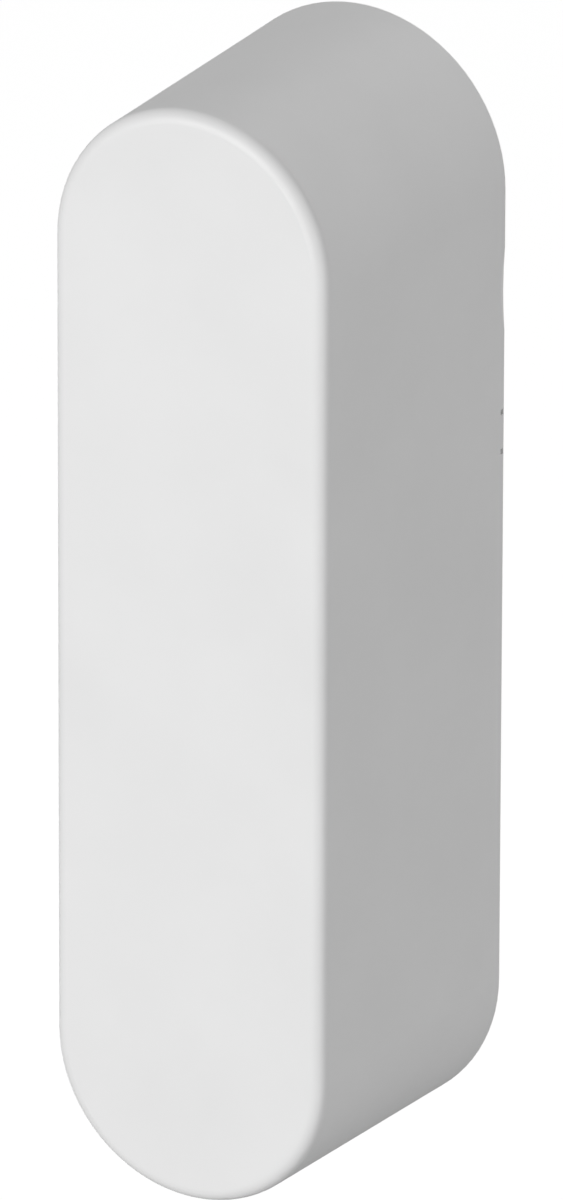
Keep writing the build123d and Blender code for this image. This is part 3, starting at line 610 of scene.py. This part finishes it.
padSettings = {
    "linerThickness": 0.07,
    "linerGap": 0.005,
    "linerOverlap": -0.02,
    "splitWidth": 0.16,
    "splitSlope": 0.18,
    "waist": 0.06,
}


def makePad(settings):
    low, high = boxOf("adhesive_pad")
    width, length = high.x - low.x, high.z - low.z
    core = bmesh.new()
    addStadium(core, width, length, settings["linerThickness"], -low.y)
    walls = [e for e in core.edges if abs(e.verts[0].co.y - e.verts[1].co.y) > 0.01]
    middle = bmesh.ops.subdivide_edges(core, edges=walls, cuts=3, use_grid_fill=True)["geom_inner"]
    for vert in vertsIn(middle):
        vert.co.x *= 1 - settings["waist"] / width  # die cutting pulls the foam in between its faces
        vert.co.z *= 1 - settings["waist"] / length
    finishPiece("padFoam", core, finishes["foam_tape"], "base", ["adhesive_pad"])
    for side, name in ((1, "padLinerUpper"), (-1, "padLinerLower")):
        liner = bmesh.new()
        grow = 2 * settings["linerOverlap"]
        addStadium(liner, width + grow, length + grow, 0.0, settings["linerThickness"] - settings["linerGap"])
        cut = bmesh.ops.bisect_plane(
            liner, geom=liner.verts[:] + liner.edges[:] + liner.faces[:],
            plane_co=(0, 0, side * settings["splitWidth"] / 2),
            plane_no=(side * settings["splitSlope"], 0, -side),
            clear_outer=True,
        )["geom_cut"]
        bmesh.ops.edgeloop_fill(liner, edges=[part for part in cut if isinstance(part, bmesh.types.BMEdge)])
        finishPiece(name, liner, extraFinishes["liner"], "base")


# packing foam in the cover, with the adhesive film that holds it

foamSettings = {
    "cornerRadius": 1.0,
    "edgeRadius": 0.22,
    "pull": 0.02,
    "cuts": 10,
    "film": 0.08,
    "filmGap": 0.005,
    "filmInset": 0.05,
}


def makeFoamStrip(settings):
    low, high = boxOf("foam_strip")
    bm = bmesh.new()
    addBlock(bm, (low.x, low.y + settings["film"], low.z), high)
    roundUpright(bm, settings["cornerRadius"], 6)
    soften(bm, settings["edgeRadius"], 3, 60)
    long = [e for e in bm.edges if abs(e.verts[0].co.z - e.verts[1].co.z) > 5]
    bmesh.ops.subdivide_edges(bm, edges=long, cuts=settings["cuts"], use_grid_fill=True)
    middle, half = (low.z + high.z) / 2, (high.z - low.z) / 2
    for vert in bm.verts:
        along = (vert.co.z - middle) / half
        vert.co.x *= 1 - settings["pull"] * (1 - along * along)  # the long sides pull in a little
    finishPiece("packingFoam", bm, finishes["packing_foam"], "cover", ["foam_strip"], 50)
    film = bmesh.new()
    inset, filmTop = settings["filmInset"], low.y + settings["film"] - settings["filmGap"]
    addBlock(film, (low.x + inset, low.y, low.z + inset), (high.x - inset, filmTop, high.z - inset))
    roundUpright(film, settings["cornerRadius"], 6)
    finishPiece("foamAdhesive", film, extraFinishes["liner"], "cover")


makePad(padSettings)
makeFoamStrip(foamSettings)
print("foam parts made")


# marks that the moulding tool leaves: ejector rings on the inside of the cover and the back of the chassis

ejectorSettings = {
    "radius": 1.25, "wall": 0.07, "relief": 0.03,
    "cover": [(0, -34.5), (0, 34.5), (-5.2, -22), (5.2, -22), (-5.2, 16), (5.2, 30)],
    "chassis": [(0, -34.2), (0, 34.2)],
}


def makeEjectorMarks(settings):
    radius, relief = settings["radius"], settings["relief"]
    inner = radius - settings["wall"]
    roof = -boxOf("foam_strip")[0].y  # inside face of the cover's front
    back = -boxOf("rear_chassis")[1].y
    for name, body, slot, spots, height in (
        ("coverEjectorMarks", "cover", "case_plastic", settings["cover"], roof),
        ("chassisEjectorMarks", "base", "chassis_plastic", settings["chassis"], back),
    ):
        bm = bmesh.new()
        end = height - relief
        for spot in spots:
            addTurned(bm, [(inner, height), (radius, height), (radius, end), (inner, end)], spot, "Y")
        finishPiece(name, bm, finishes[slot], body)


makeEjectorMarks(ejectorSettings)


# plastic and sheet parts: the CAD shapes with the small rounds that moulding, stamping or firing leaves

roundedParts = {
    # node: (name, edge radius in mm, crease angle)
    "battery_holder": ("batteryHolder", 0.1, 30),
    "switch_base": ("switchHousing", 0.08, 40),
    "boost_chip": ("boostChipBody", 0.05, 30),
    "chip_capacitors": ("capacitorBodies", 0.06, 30),
    "chip_resistors": ("resistorBodies", 0.04, 30),
    "chip_terminals": ("chipEndCaps", 0.06, 30),
    "boost_legs": ("boostChipLegs", 0.04, 30),
    "switch_legs": ("switchLegs", 0.05, 30),
    "negative_contact": ("negativeContactPlate", 0.04, 40),
    "positive_contact": ("positiveContactPlate", 0.04, 40),
    "snap_hooks": ("snapHooks", 0.08, 40),
}


def makeRoundedParts(parts):
    for node, (name, radius, crease) in parts.items():
        bm = copyOf(node)
        soften(bm, radius, 2, crease)
        finishPiece(name, bm, finishes[slotOfNode[node]], bodyOfNode[node], [node])


makeRoundedParts(roundedParts)
print("rounded parts made")


# cell: jacket with its shrunk lips, and printed polarity marks

jacketSettings = {
    "film": 0.1,
    "lip": 0.75,
    "lipRadius": 0.3,
    "overEnd": 0.03,
    "steps": 96,
    "marks": {"size": 2.6, "width": 0.62, "fromEnd": 4.2, "ink": 0.012, "embed": 0.05},
}


def addCurvedBar(bm, centre, size, axisHeight, radius, offsets, facing):
    # a thin bar wrapped on a cylinder along Z; facing -1 is the side towards the front
    x, z = centre
    low = (x - size[0] / 2, 0, z - size[1] / 2)
    high = (x + size[0] / 2, 1, z + size[1] / 2)
    before = len(bm.verts)
    verts = addBlock(bm, low, high)
    edges = [e for e in bm.edges if e.verts[0] in verts and abs(e.verts[0].co.x - e.verts[1].co.x) > 0.01]
    bmesh.ops.subdivide_edges(bm, edges=edges, cuts=8, use_grid_fill=True)
    bm.verts.ensure_lookup_table()
    for vert in bm.verts[before:]:
        reach = radius + (offsets[0] if vert.co.y > 0.5 else offsets[1])
        vert.co.y = -axisHeight + facing * sqrt(reach * reach - vert.co.x * vert.co.x)


def polarityBars(marks, low, high):
    # middle and size of each bar: a plus near the upper end, a minus near the lower
    size, width = marks["size"], marks["width"]
    plus, minus = (0, high.z - marks["fromEnd"]), (0, low.z + marks["fromEnd"])
    return (plus, (size, width)), (plus, (width, size)), (minus, (size, width))


def makeJacket(settings):
    low, high = boxOf("cell_sleeve")
    canLow, canHigh = boxOf("cell_can")
    axisHeight = -(low.y + high.y) / 2
    radius = (high.x - low.x) / 2
    bend, film, over = settings["lipRadius"], settings["film"], settings["overEnd"]

    def shell(inset):
        # one side of the film, from the lower lip round both bends to the upper lip
        points = []
        for end, way in ((canLow.z - over, -1), (canHigh.z + over, 1)):
            lip = [(radius - settings["lip"], end - way * inset)]
            for turn in range(0, 91, 15):
                sideways, upward = (bend - inset) * sin(radians(turn)), (bend - inset) * cos(radians(turn))
                lip.append((radius - bend + sideways, end - way * (bend - upward)))
            points += lip if way < 0 else lip[::-1]
        return points

    bm = bmesh.new()
    addTurned(bm, shell(0.0) + shell(film)[::-1], (0, axisHeight), "Z", settings["steps"])
    mergeClose(bm)
    finishPiece("cellJacket", bm, finishes["cell_jacket"], "cell", ["cell_sleeve"], 50)
    printed = bmesh.new()
    marks = settings["marks"]
    for centre, bar in polarityBars(marks, low, high):
        addCurvedBar(printed, centre, bar, axisHeight, radius, (-marks["embed"], marks["ink"]), -1)
    finishPiece("cellPolarityMarks", printed, extraFinishes["ink"], "cell")


holderMarkSettings = {
    "size": 2.4, "width": 0.6, "fromEnd": 4.5, "ink": 0.015, "embed": 0.05, "bedGap": 0.1,
}


def makeHolderMarks(settings):
    # printed polarity marks on the floor of the trough
    low, high = boxOf("cell_sleeve")
    axisHeight = -(low.y + high.y) / 2
    bed = (high.x - low.x) / 2 + settings["bedGap"]
    bm = bmesh.new()
    for centre, bar in polarityBars(settings, low, high):
        addCurvedBar(bm, centre, bar, axisHeight, bed, (settings["embed"], -settings["ink"]), 1)
    finishPiece("holderPolarityMarks", bm, extraFinishes["ink"], "base")


makeJacket(jacketSettings)
makeHolderMarks(holderMarkSettings)
print("cell made")


# board: tracks, vias, solder, printed outlines

boardFront = -boxOf("circuit_board")[0].y
trackSettings = {
    "width": 0.22,
    "wide": 0.55,
    "thickness": 0.03,
    "embed": 0.02,
    "edgeInset": 0.33,
    "edgeRun": (-21.5, 16.0),
}
inkSettings = {"width": 0.13, "thickness": 0.025, "embed": 0.02, "gap": 0.28, "cornerRun": 0.9, "dot": 0.17}
solderSettings = {"spread": 0.2, "rise": 0.55, "topSpread": 0.02, "embed": 0.02, "softness": 0.07}
viaSettings = {
    "outer": 0.3,
    "inner": 0.15,
    "thickness": 0.045,
    "embed": 0.02,
    "edgeInset": 0.95,
    "edgeLevels": (-20.6, -23.4, -26.2, -29.0),
    "canFirst": 1.0,
    "canStep": 1.1,
    "canGap": 0.72,
    "others": [
        (-6.9, 22.1), (-5.9, 22.1), (4.3, 18.2), (5.3, 18.2), (6.3, 18.2), (4.3, 21.6), (5.4, 21.6),
        (0.9, 36.5), (-0.9, 36.5),
    ],
}


def flat(box):
    # the box's outline on the board: left, right, lower, upper
    low, high = box
    return low.x, high.x, low.z, high.z


def makeTracks(settings):
    can, crystal = flat(boxOf("rf_shield")), flat(boxOf("quartz_crystal"))
    antenna, coil = flat(boxOf("antenna_trace")), flat(boxOf("power_inductor"))
    boost = flat(boxOf("boost_chip"))
    legs = [flat(box) for box in solidsOf("switch_legs")]
    pads = sorted((flat(box) for box in solidsOf("test_pads")), key=lambda pad: pad[2])
    chips = [flat(box) for box in solidsOf("chip_capacitors") + solidsOf("chip_resistors")]
    led = flat(boxOf("status_led"))
    reed = flat(boxOf("reed_leads"))
    boardRight, boardLow = flat(boxOf("circuit_board"))[1:3]
    left = sorted((chip for chip in chips if chip[0] < 0), key=lambda chip: chip[2])
    right = sorted((chip for chip in chips if chip[0] > 0), key=lambda chip: chip[2])
    leftMid = (left[0][0] + left[0][1]) / 2
    rightMid = (right[0][0] + right[0][1]) / 2
    legRight = (legs[-1][0] + legs[-1][1]) / 2
    legLeft = (legs[0][0] + legs[0][1]) / 2
    legTop = max(leg[3] for leg in legs)
    legLow = min(leg[2] for leg in legs)
    fine = [
        [(legRight, legTop), (legRight, can[2] + 0.3)],
        [(legLeft, legTop), (legLeft, legTop + 0.9), (legLeft + 0.7, legTop + 1.6),
         (can[0] + 0.3, legTop + 1.6)],
        [(crystal[1] - 0.2, crystal[2] + 0.5), (can[0] + 0.2, crystal[2] + 0.5)],
        [(crystal[1] - 0.2, crystal[3] - 0.5), (can[0] + 0.2, crystal[3] - 0.5)],
        [(led[0] + 0.4, led[2]), (led[0] + 0.4, led[2] - 1.6), (left[-1][0] + 0.5, left[-1][3] + 4.2),
         (left[-1][0] + 0.5, left[-1][3] + 0.4)],
        [(antenna[1] - 0.25, antenna[2] + 0.1), (antenna[1] - 0.25, can[3] - 0.3)],
        [(boost[0] + 0.4, boost[2] + 0.2), (boost[0] + 0.4, crystal[3] + 0.5), (led[1] + 0.5, led[3] + 0.6),
         (led[1] - 0.4, led[3])],
        [(rightMid, pads[0][2] + 0.3), (rightMid, right[-1][3] + 0.3)],
        [(rightMid, pads[-1][3] - 0.3), (rightMid, reed[2] - 0.2)],
        [(rightMid, right[0][2]), (rightMid, right[0][2] - 2.2), (rightMid - 0.6, right[0][2] - 2.8),
         (rightMid - 0.6, boardLow + 9)],
        [(leftMid, left[0][2]), (leftMid, left[0][2] - 2.5), (leftMid + 0.6, left[0][2] - 3.1),
         (leftMid + 0.6, boardLow + 9)],
    ]
    fine += [[(leftMid, lower[3] + 0.3), (leftMid, upper[2] - 0.3)] for lower, upper in zip(left, left[1:])]
    edge = boardRight - settings["edgeInset"]
    fine += [
        [(x, right[0][3] + 0.3), (x, right[1][2] - 0.3)] for x in (rightMid - 0.35, rightMid + 0.35)
    ]
    fine += [[(side * edge, level) for level in settings["edgeRun"]] for side in (-1, 1)]
    wide = [
        [(coil[1] - 0.2, (coil[2] + coil[3]) / 2 - 1.1), (boost[0] - 0.1, (coil[2] + coil[3]) / 2 - 1.1)],
        [(coil[1] - 0.2, boost[3] - 0.5), (boost[0] - 0.1, boost[3] - 0.5)],
        [(boost[1] + 0.2, boost[3] - 0.5), (can[0] + 0.2, boost[3] - 0.5)],
        [(legRight, legLow), (legRight, legLow - 0.5), (legRight + 1.6, legLow - 2.0)],
    ]
    for name, paths, width in (
        ("boardTracks", fine, settings["width"]),
        ("boardPowerTracks", wide, settings["wide"]),
    ):
        bm = bmesh.new()
        for points in paths:
            addPath(bm, points, boardFront - settings["embed"], boardFront + settings["thickness"])
        thicken(bm, width)
        finishPiece(name, bm, extraFinishes["track"], "base")


def makeVias(settings):
    can = flat(boxOf("rf_shield"))
    edge = boxOf("circuit_board")[1].x - settings["edgeInset"]
    first, step, gap = settings["canFirst"], settings["canStep"], settings["canGap"]
    spots = [(side * edge, z) for side in (-1, 1) for z in settings["edgeLevels"]]
    spots += [(can[0] + first + step * count, can[3] + gap) for count in range(3)]
    spots += settings["others"]
    bm = bmesh.new()
    bottom, top = boardFront - settings["embed"], boardFront + settings["thickness"]
    inner, outer = settings["inner"], settings["outer"]
    for spot in spots:
        addTurned(bm, [(inner, bottom), (outer, bottom), (outer - 0.03, top), (inner, top)], spot, "Y", 16)
    finishPiece("boardVias", bm, finishes["gold_plate"], "base")
    # painted shade: a black dished disc in each via ring stands in for the shade down the hole
    holeShadePlugs = bmesh.new()
    for spot in spots:
        dished = [(0, bottom), (inner, bottom), (inner, top - 0.02), (0, top - 0.035)]
        addTurned(holeShadePlugs, dished, spot, "Y", 12, False)
    mergeClose(holeShadePlugs)
    finishPiece("viaHolesPaintedShade", holeShadePlugs, finishes["cell_mix"], "base")


def makeSolder(settings):
    bm = bmesh.new()
    for node in ("chip_terminals", "switch_legs", "boost_legs"):
        for low, high in solidsOf(node):
            rise = (high.y - low.y) * settings["rise"]
            spread, top = settings["spread"], settings["topSpread"]
            verts = addBlock(
                bm,
                (low.x - spread, -boardFront - rise, low.z - spread),
                (high.x + spread, -boardFront + settings["embed"], high.z + spread),
            )
            middle = (low + high) / 2
            upper = [vert for vert in verts if vert.co.y < -boardFront - rise / 2]
            for vert in upper:  # the fillet climbs the metal from a wider foot
                vert.co.x = middle.x + (1 if vert.co.x > middle.x else -1) * ((high.x - low.x) / 2 + top)
                vert.co.z = middle.z + (1 if vert.co.z > middle.z else -1) * ((high.z - low.z) / 2 + top)
    soften(bm, settings["softness"], 2, 20)
    finishPiece("solderJoints", bm, finishes["solder_tin"], "base", (), 60)


def makeInk(settings):
    bottom, top = boardFront - settings["embed"], boardFront + settings["thickness"]
    gap, reach = settings["gap"], settings["cornerRun"]
    bm = bmesh.new()
    for node in ("rf_shield", "quartz_crystal", "power_inductor"):
        left, right, lower, upper = flat(boxOf(node))
        left, right, lower, upper = left - gap, right + gap, lower - gap, upper + gap
        for x, inward in ((left, 1), (right, -1)):
            for z, up in ((lower, 1), (upper, -1)):
                addPath(bm, [(x + inward * reach, z), (x, z), (x, z + up * reach)], bottom, top)
    left, right, lower, upper = flat(boxOf("boost_chip"))
    for x in (left - 0.75, right + 0.6):
        addPath(bm, [(x, lower - 0.1), (x, upper + 0.1)], bottom, top)
    for node in ("chip_capacitors", "chip_resistors"):
        for low, high in solidsOf(node):
            for x in (low.x - 0.16, high.x + 0.05):
                addPath(bm, [(x, low.z - 0.1), (x, high.z + 0.1)], bottom, top)
    left, right, lower, upper = flat(boxOf("status_led"))
    addPath(bm, [(left - 0.2, lower + 0.3), (left - 0.2, lower - 0.15), (right + 0.2, lower - 0.15),
                 (right + 0.2, lower + 0.3)], bottom, top)
    left, right, lower, upper = flat(boxOf("switch_base"))
    for z in (lower - 0.1, upper + 0.1):
        addPath(bm, [(left + 0.2, z), (right - 0.2, z)], bottom, top)
    thicken(bm, settings["width"])
    boost, can = flat(boxOf("boost_chip")), flat(boxOf("rf_shield"))
    for spot in ((boost[0] - 0.75, boost[3] + 0.55), (can[0] - 0.5, can[3] + 0.35)):
        addRod(bm, settings["dot"], bottom, top, spot, 16)
    mergeClose(bm)
    finishPiece("boardInkLines", bm, extraFinishes["ink"], "base")


makeTracks(trackSettings)
makeVias(viaSettings)
makeSolder(solderSettings)
makeInk(inkSettings)
print("board details made")


# shield can: pressed lid with vent holes, and painted shade for a corner slit at each bend

canSettings = {
    "holeRadius": 0.28,
    "pitch": 1.15,
    "rows": 3,
    "columns": 3,
    "slitWidth": 0.12,
    "slitHeight": 0.75,
    "slitFoot": 0.05,
    "slitInset": 0.85,
    "slitRelief": 0.012,
}


def makeShieldCan(settings):
    low, high = boxOf("rf_shield")
    middle = (low + high) / 2
    bm = copyOf("rf_shield")
    piece = finishPiece("shieldCan", bm, finishes["shield_tin"], "base", ["rf_shield"])
    cutter = bmesh.new()
    for row in range(settings["rows"]):
        for column in range(settings["columns"]):
            spot = (
                middle.x + (column - (settings["columns"] - 1) / 2) * settings["pitch"],
                middle.z + (row - (settings["rows"] - 1) / 2) * settings["pitch"],
            )
            addRod(cutter, settings["holeRadius"], -low.y - 0.4, -low.y + 0.2, spot, 20)
    mergeClose(cutter)
    cutAway(piece, cutter)
    # painted shade: thin black blocks on the can's walls stand in for the shade inside each corner slit
    seam = bmesh.new()
    half, inset, relief = settings["slitWidth"] / 2, settings["slitInset"], settings["slitRelief"]
    front, foot = -boardFront - settings["slitHeight"], -boardFront - settings["slitFoot"]
    for x in (low.x, high.x):
        for z in (low.z + inset, high.z - inset):
            addBlock(seam, (x - relief, front, z - half), (x + relief, foot, z + half))
    for x in (low.x + inset, high.x - inset):
        for z in (low.z, high.z):
            addBlock(seam, (x - half, front, z - relief), (x + half, foot, z + relief))
    finishPiece("shieldCanSlitShade", seam, finishes["cell_mix"], "base")


# inductor: ferrite drum with its winding between two plates

inductorSettings = {"foot": 0.4, "plate": 0.35, "corner": 0.75, "wire": 0.085, "turns": 4, "coreRadius": 0.85}


def makeInductor(settings):
    low, high = boxOf("power_inductor")
    middle = (low + high) / 2
    bottom, top = -high.y, -low.y
    drum = bmesh.new()
    for start, end in ((bottom, bottom + settings["foot"]), (top - settings["plate"], top)):
        block = bmesh.new()
        addBlock(block, (low.x, -end, low.z), (high.x, -start, high.z))
        roundUpright(block, settings["corner"], 1)
        soften(block, 0.06, 2, 50)
        mesh = bpy.data.meshes.new("plate")
        block.to_mesh(mesh)
        block.free()
        drum.from_mesh(mesh)
        bpy.data.meshes.remove(mesh)
    core = settings["coreRadius"]
    addRod(drum, core, bottom + 0.1, top - 0.1, (middle.x, middle.z), 32)
    mergeClose(drum)
    finishPiece("inductorDrum", drum, finishes["ferrite"], "base", ["power_inductor"])
    coil = bmesh.new()
    wire, steps = settings["wire"], 36
    room = top - settings["plate"] - bottom - settings["foot"]
    rise = (room - 2 * wire) / settings["turns"]
    for layer in range(2):
        across = middle.x + core + wire * (1 + 2 * layer) * 1.02
        start = Matrix.Translation((across, -bottom - settings["foot"] - wire, middle.z))
        section = bmesh.ops.create_circle(coil, segments=8, radius=wire, matrix=start)["verts"]
        edges = sorted({e for v in section for e in v.link_edges}, key=lambda e: e.index)
        bmesh.ops.spin(
            coil, geom=section + edges, cent=(middle.x, 0, middle.z), axis=(0, 1, 0),
            dvec=(0, -rise / steps, 0), angle=2 * pi * settings["turns"], steps=steps * settings["turns"],
        )
    ends = [e for e in coil.edges if len(e.link_faces) == 1]
    bmesh.ops.holes_fill(coil, edges=ends, sides=8)
    finishPiece("inductorWinding", coil, extraFinishes["wire"], "base", (), 60)


# crystal: ceramic tray with a seam-welded lid

crystalSettings = {"tray": 0.42, "lidInset": 0.14, "corner": 0.22, "seam": 0.05}


def makeCrystal(settings):
    low, high = boxOf("quartz_crystal")
    split = -boardFront - settings["tray"]
    for name, start, end, inset, material, slot, replaced in (
        ("crystalTray", high.y, split, 0.0, extraFinishes["alumina"], "capacitor_ceramic", ()),
        ("crystalLid", split, low.y, settings["lidInset"], finishes["crystal_lid"], "crystal_lid",
         ["quartz_crystal"]),
    ):
        bm = bmesh.new()
        addBlock(bm, (low.x + inset, end, low.z + inset), (high.x - inset, start, high.z - inset))
        roundUpright(bm, settings["corner"], 4)
        soften(bm, settings["seam"], 2, 60)
        finishPiece(name, bm, material, "base", replaced)


# status light: white package with a phosphor window

lightSettings = {"wall": 0.14, "endWall": 0.34, "recess": 0.02, "phosphorDepth": 0.1}


def makeStatusLight(settings):
    low, high = boxOf("status_led")
    body = bmesh.new()
    addBlock(body, (low.x, low.y + settings["recess"], low.z), high)
    soften(body, 0.04, 2)
    finishPiece("statusLightPackage", body, extraFinishes["package"], "base", ["status_led"])
    lens = bmesh.new()
    wall, endWall = settings["wall"], settings["endWall"]
    addBlock(
        lens,
        (low.x + wall, low.y, low.z + endWall),
        (high.x - wall, low.y + settings["phosphorDepth"], high.z - endWall),
    )
    soften(lens, 0.03, 2)
    finishPiece("statusLightPhosphor", lens, finishes["led_epoxy"], "base")


# push switch: steel cover plate with its rivet heads

switchSettings = {
    "plate": 0.07, "inset": 0.12, "corner": 0.35, "hole": 1.28, "rivet": 0.27, "rivetInset": 0.55,
}


def makeSwitchCover(settings):
    low, high = boxOf("switch_base")
    middle = (low + high) / 2
    half = (high.x - low.x) / 2 - settings["inset"]
    top = -low.y
    plate = bmesh.new()
    addBlock(plate, (-half, -top - settings["plate"], middle.z - half), (half, -top + 0.02, middle.z + half))
    roundUpright(plate, settings["corner"], 4)
    piece = finishPiece("switchCoverPlate", plate, finishes["dome_steel"], "base")
    cutter = bmesh.new()
    addRod(cutter, settings["hole"], top - 0.5, top + 0.5, (0, middle.z), 40)
    mergeClose(cutter)
    cutAway(piece, cutter)
    rivets = bmesh.new()
    reach = half - settings["rivetInset"] + settings["inset"]
    height, r = top + settings["plate"], settings["rivet"]
    domed = [(0, -0.02), (r, -0.02), (r, 0.06), (0.7 * r, 0.12), (0, 0.14)]
    for x in (-reach, reach):
        for z in (middle.z - reach, middle.z + reach):
            addTurned(rivets, [(out, height + up) for out, up in domed], (x, z), "Y", 16, False)
    mergeClose(rivets)
    finishPiece("switchRivets", rivets, finishes["switch_body"], "base")


makeShieldCan(canSettings)
makeInductor(inductorSettings)
makeCrystal(crystalSettings)
makeStatusLight(lightSettings)
makeSwitchCover(switchSettings)
print("components made")
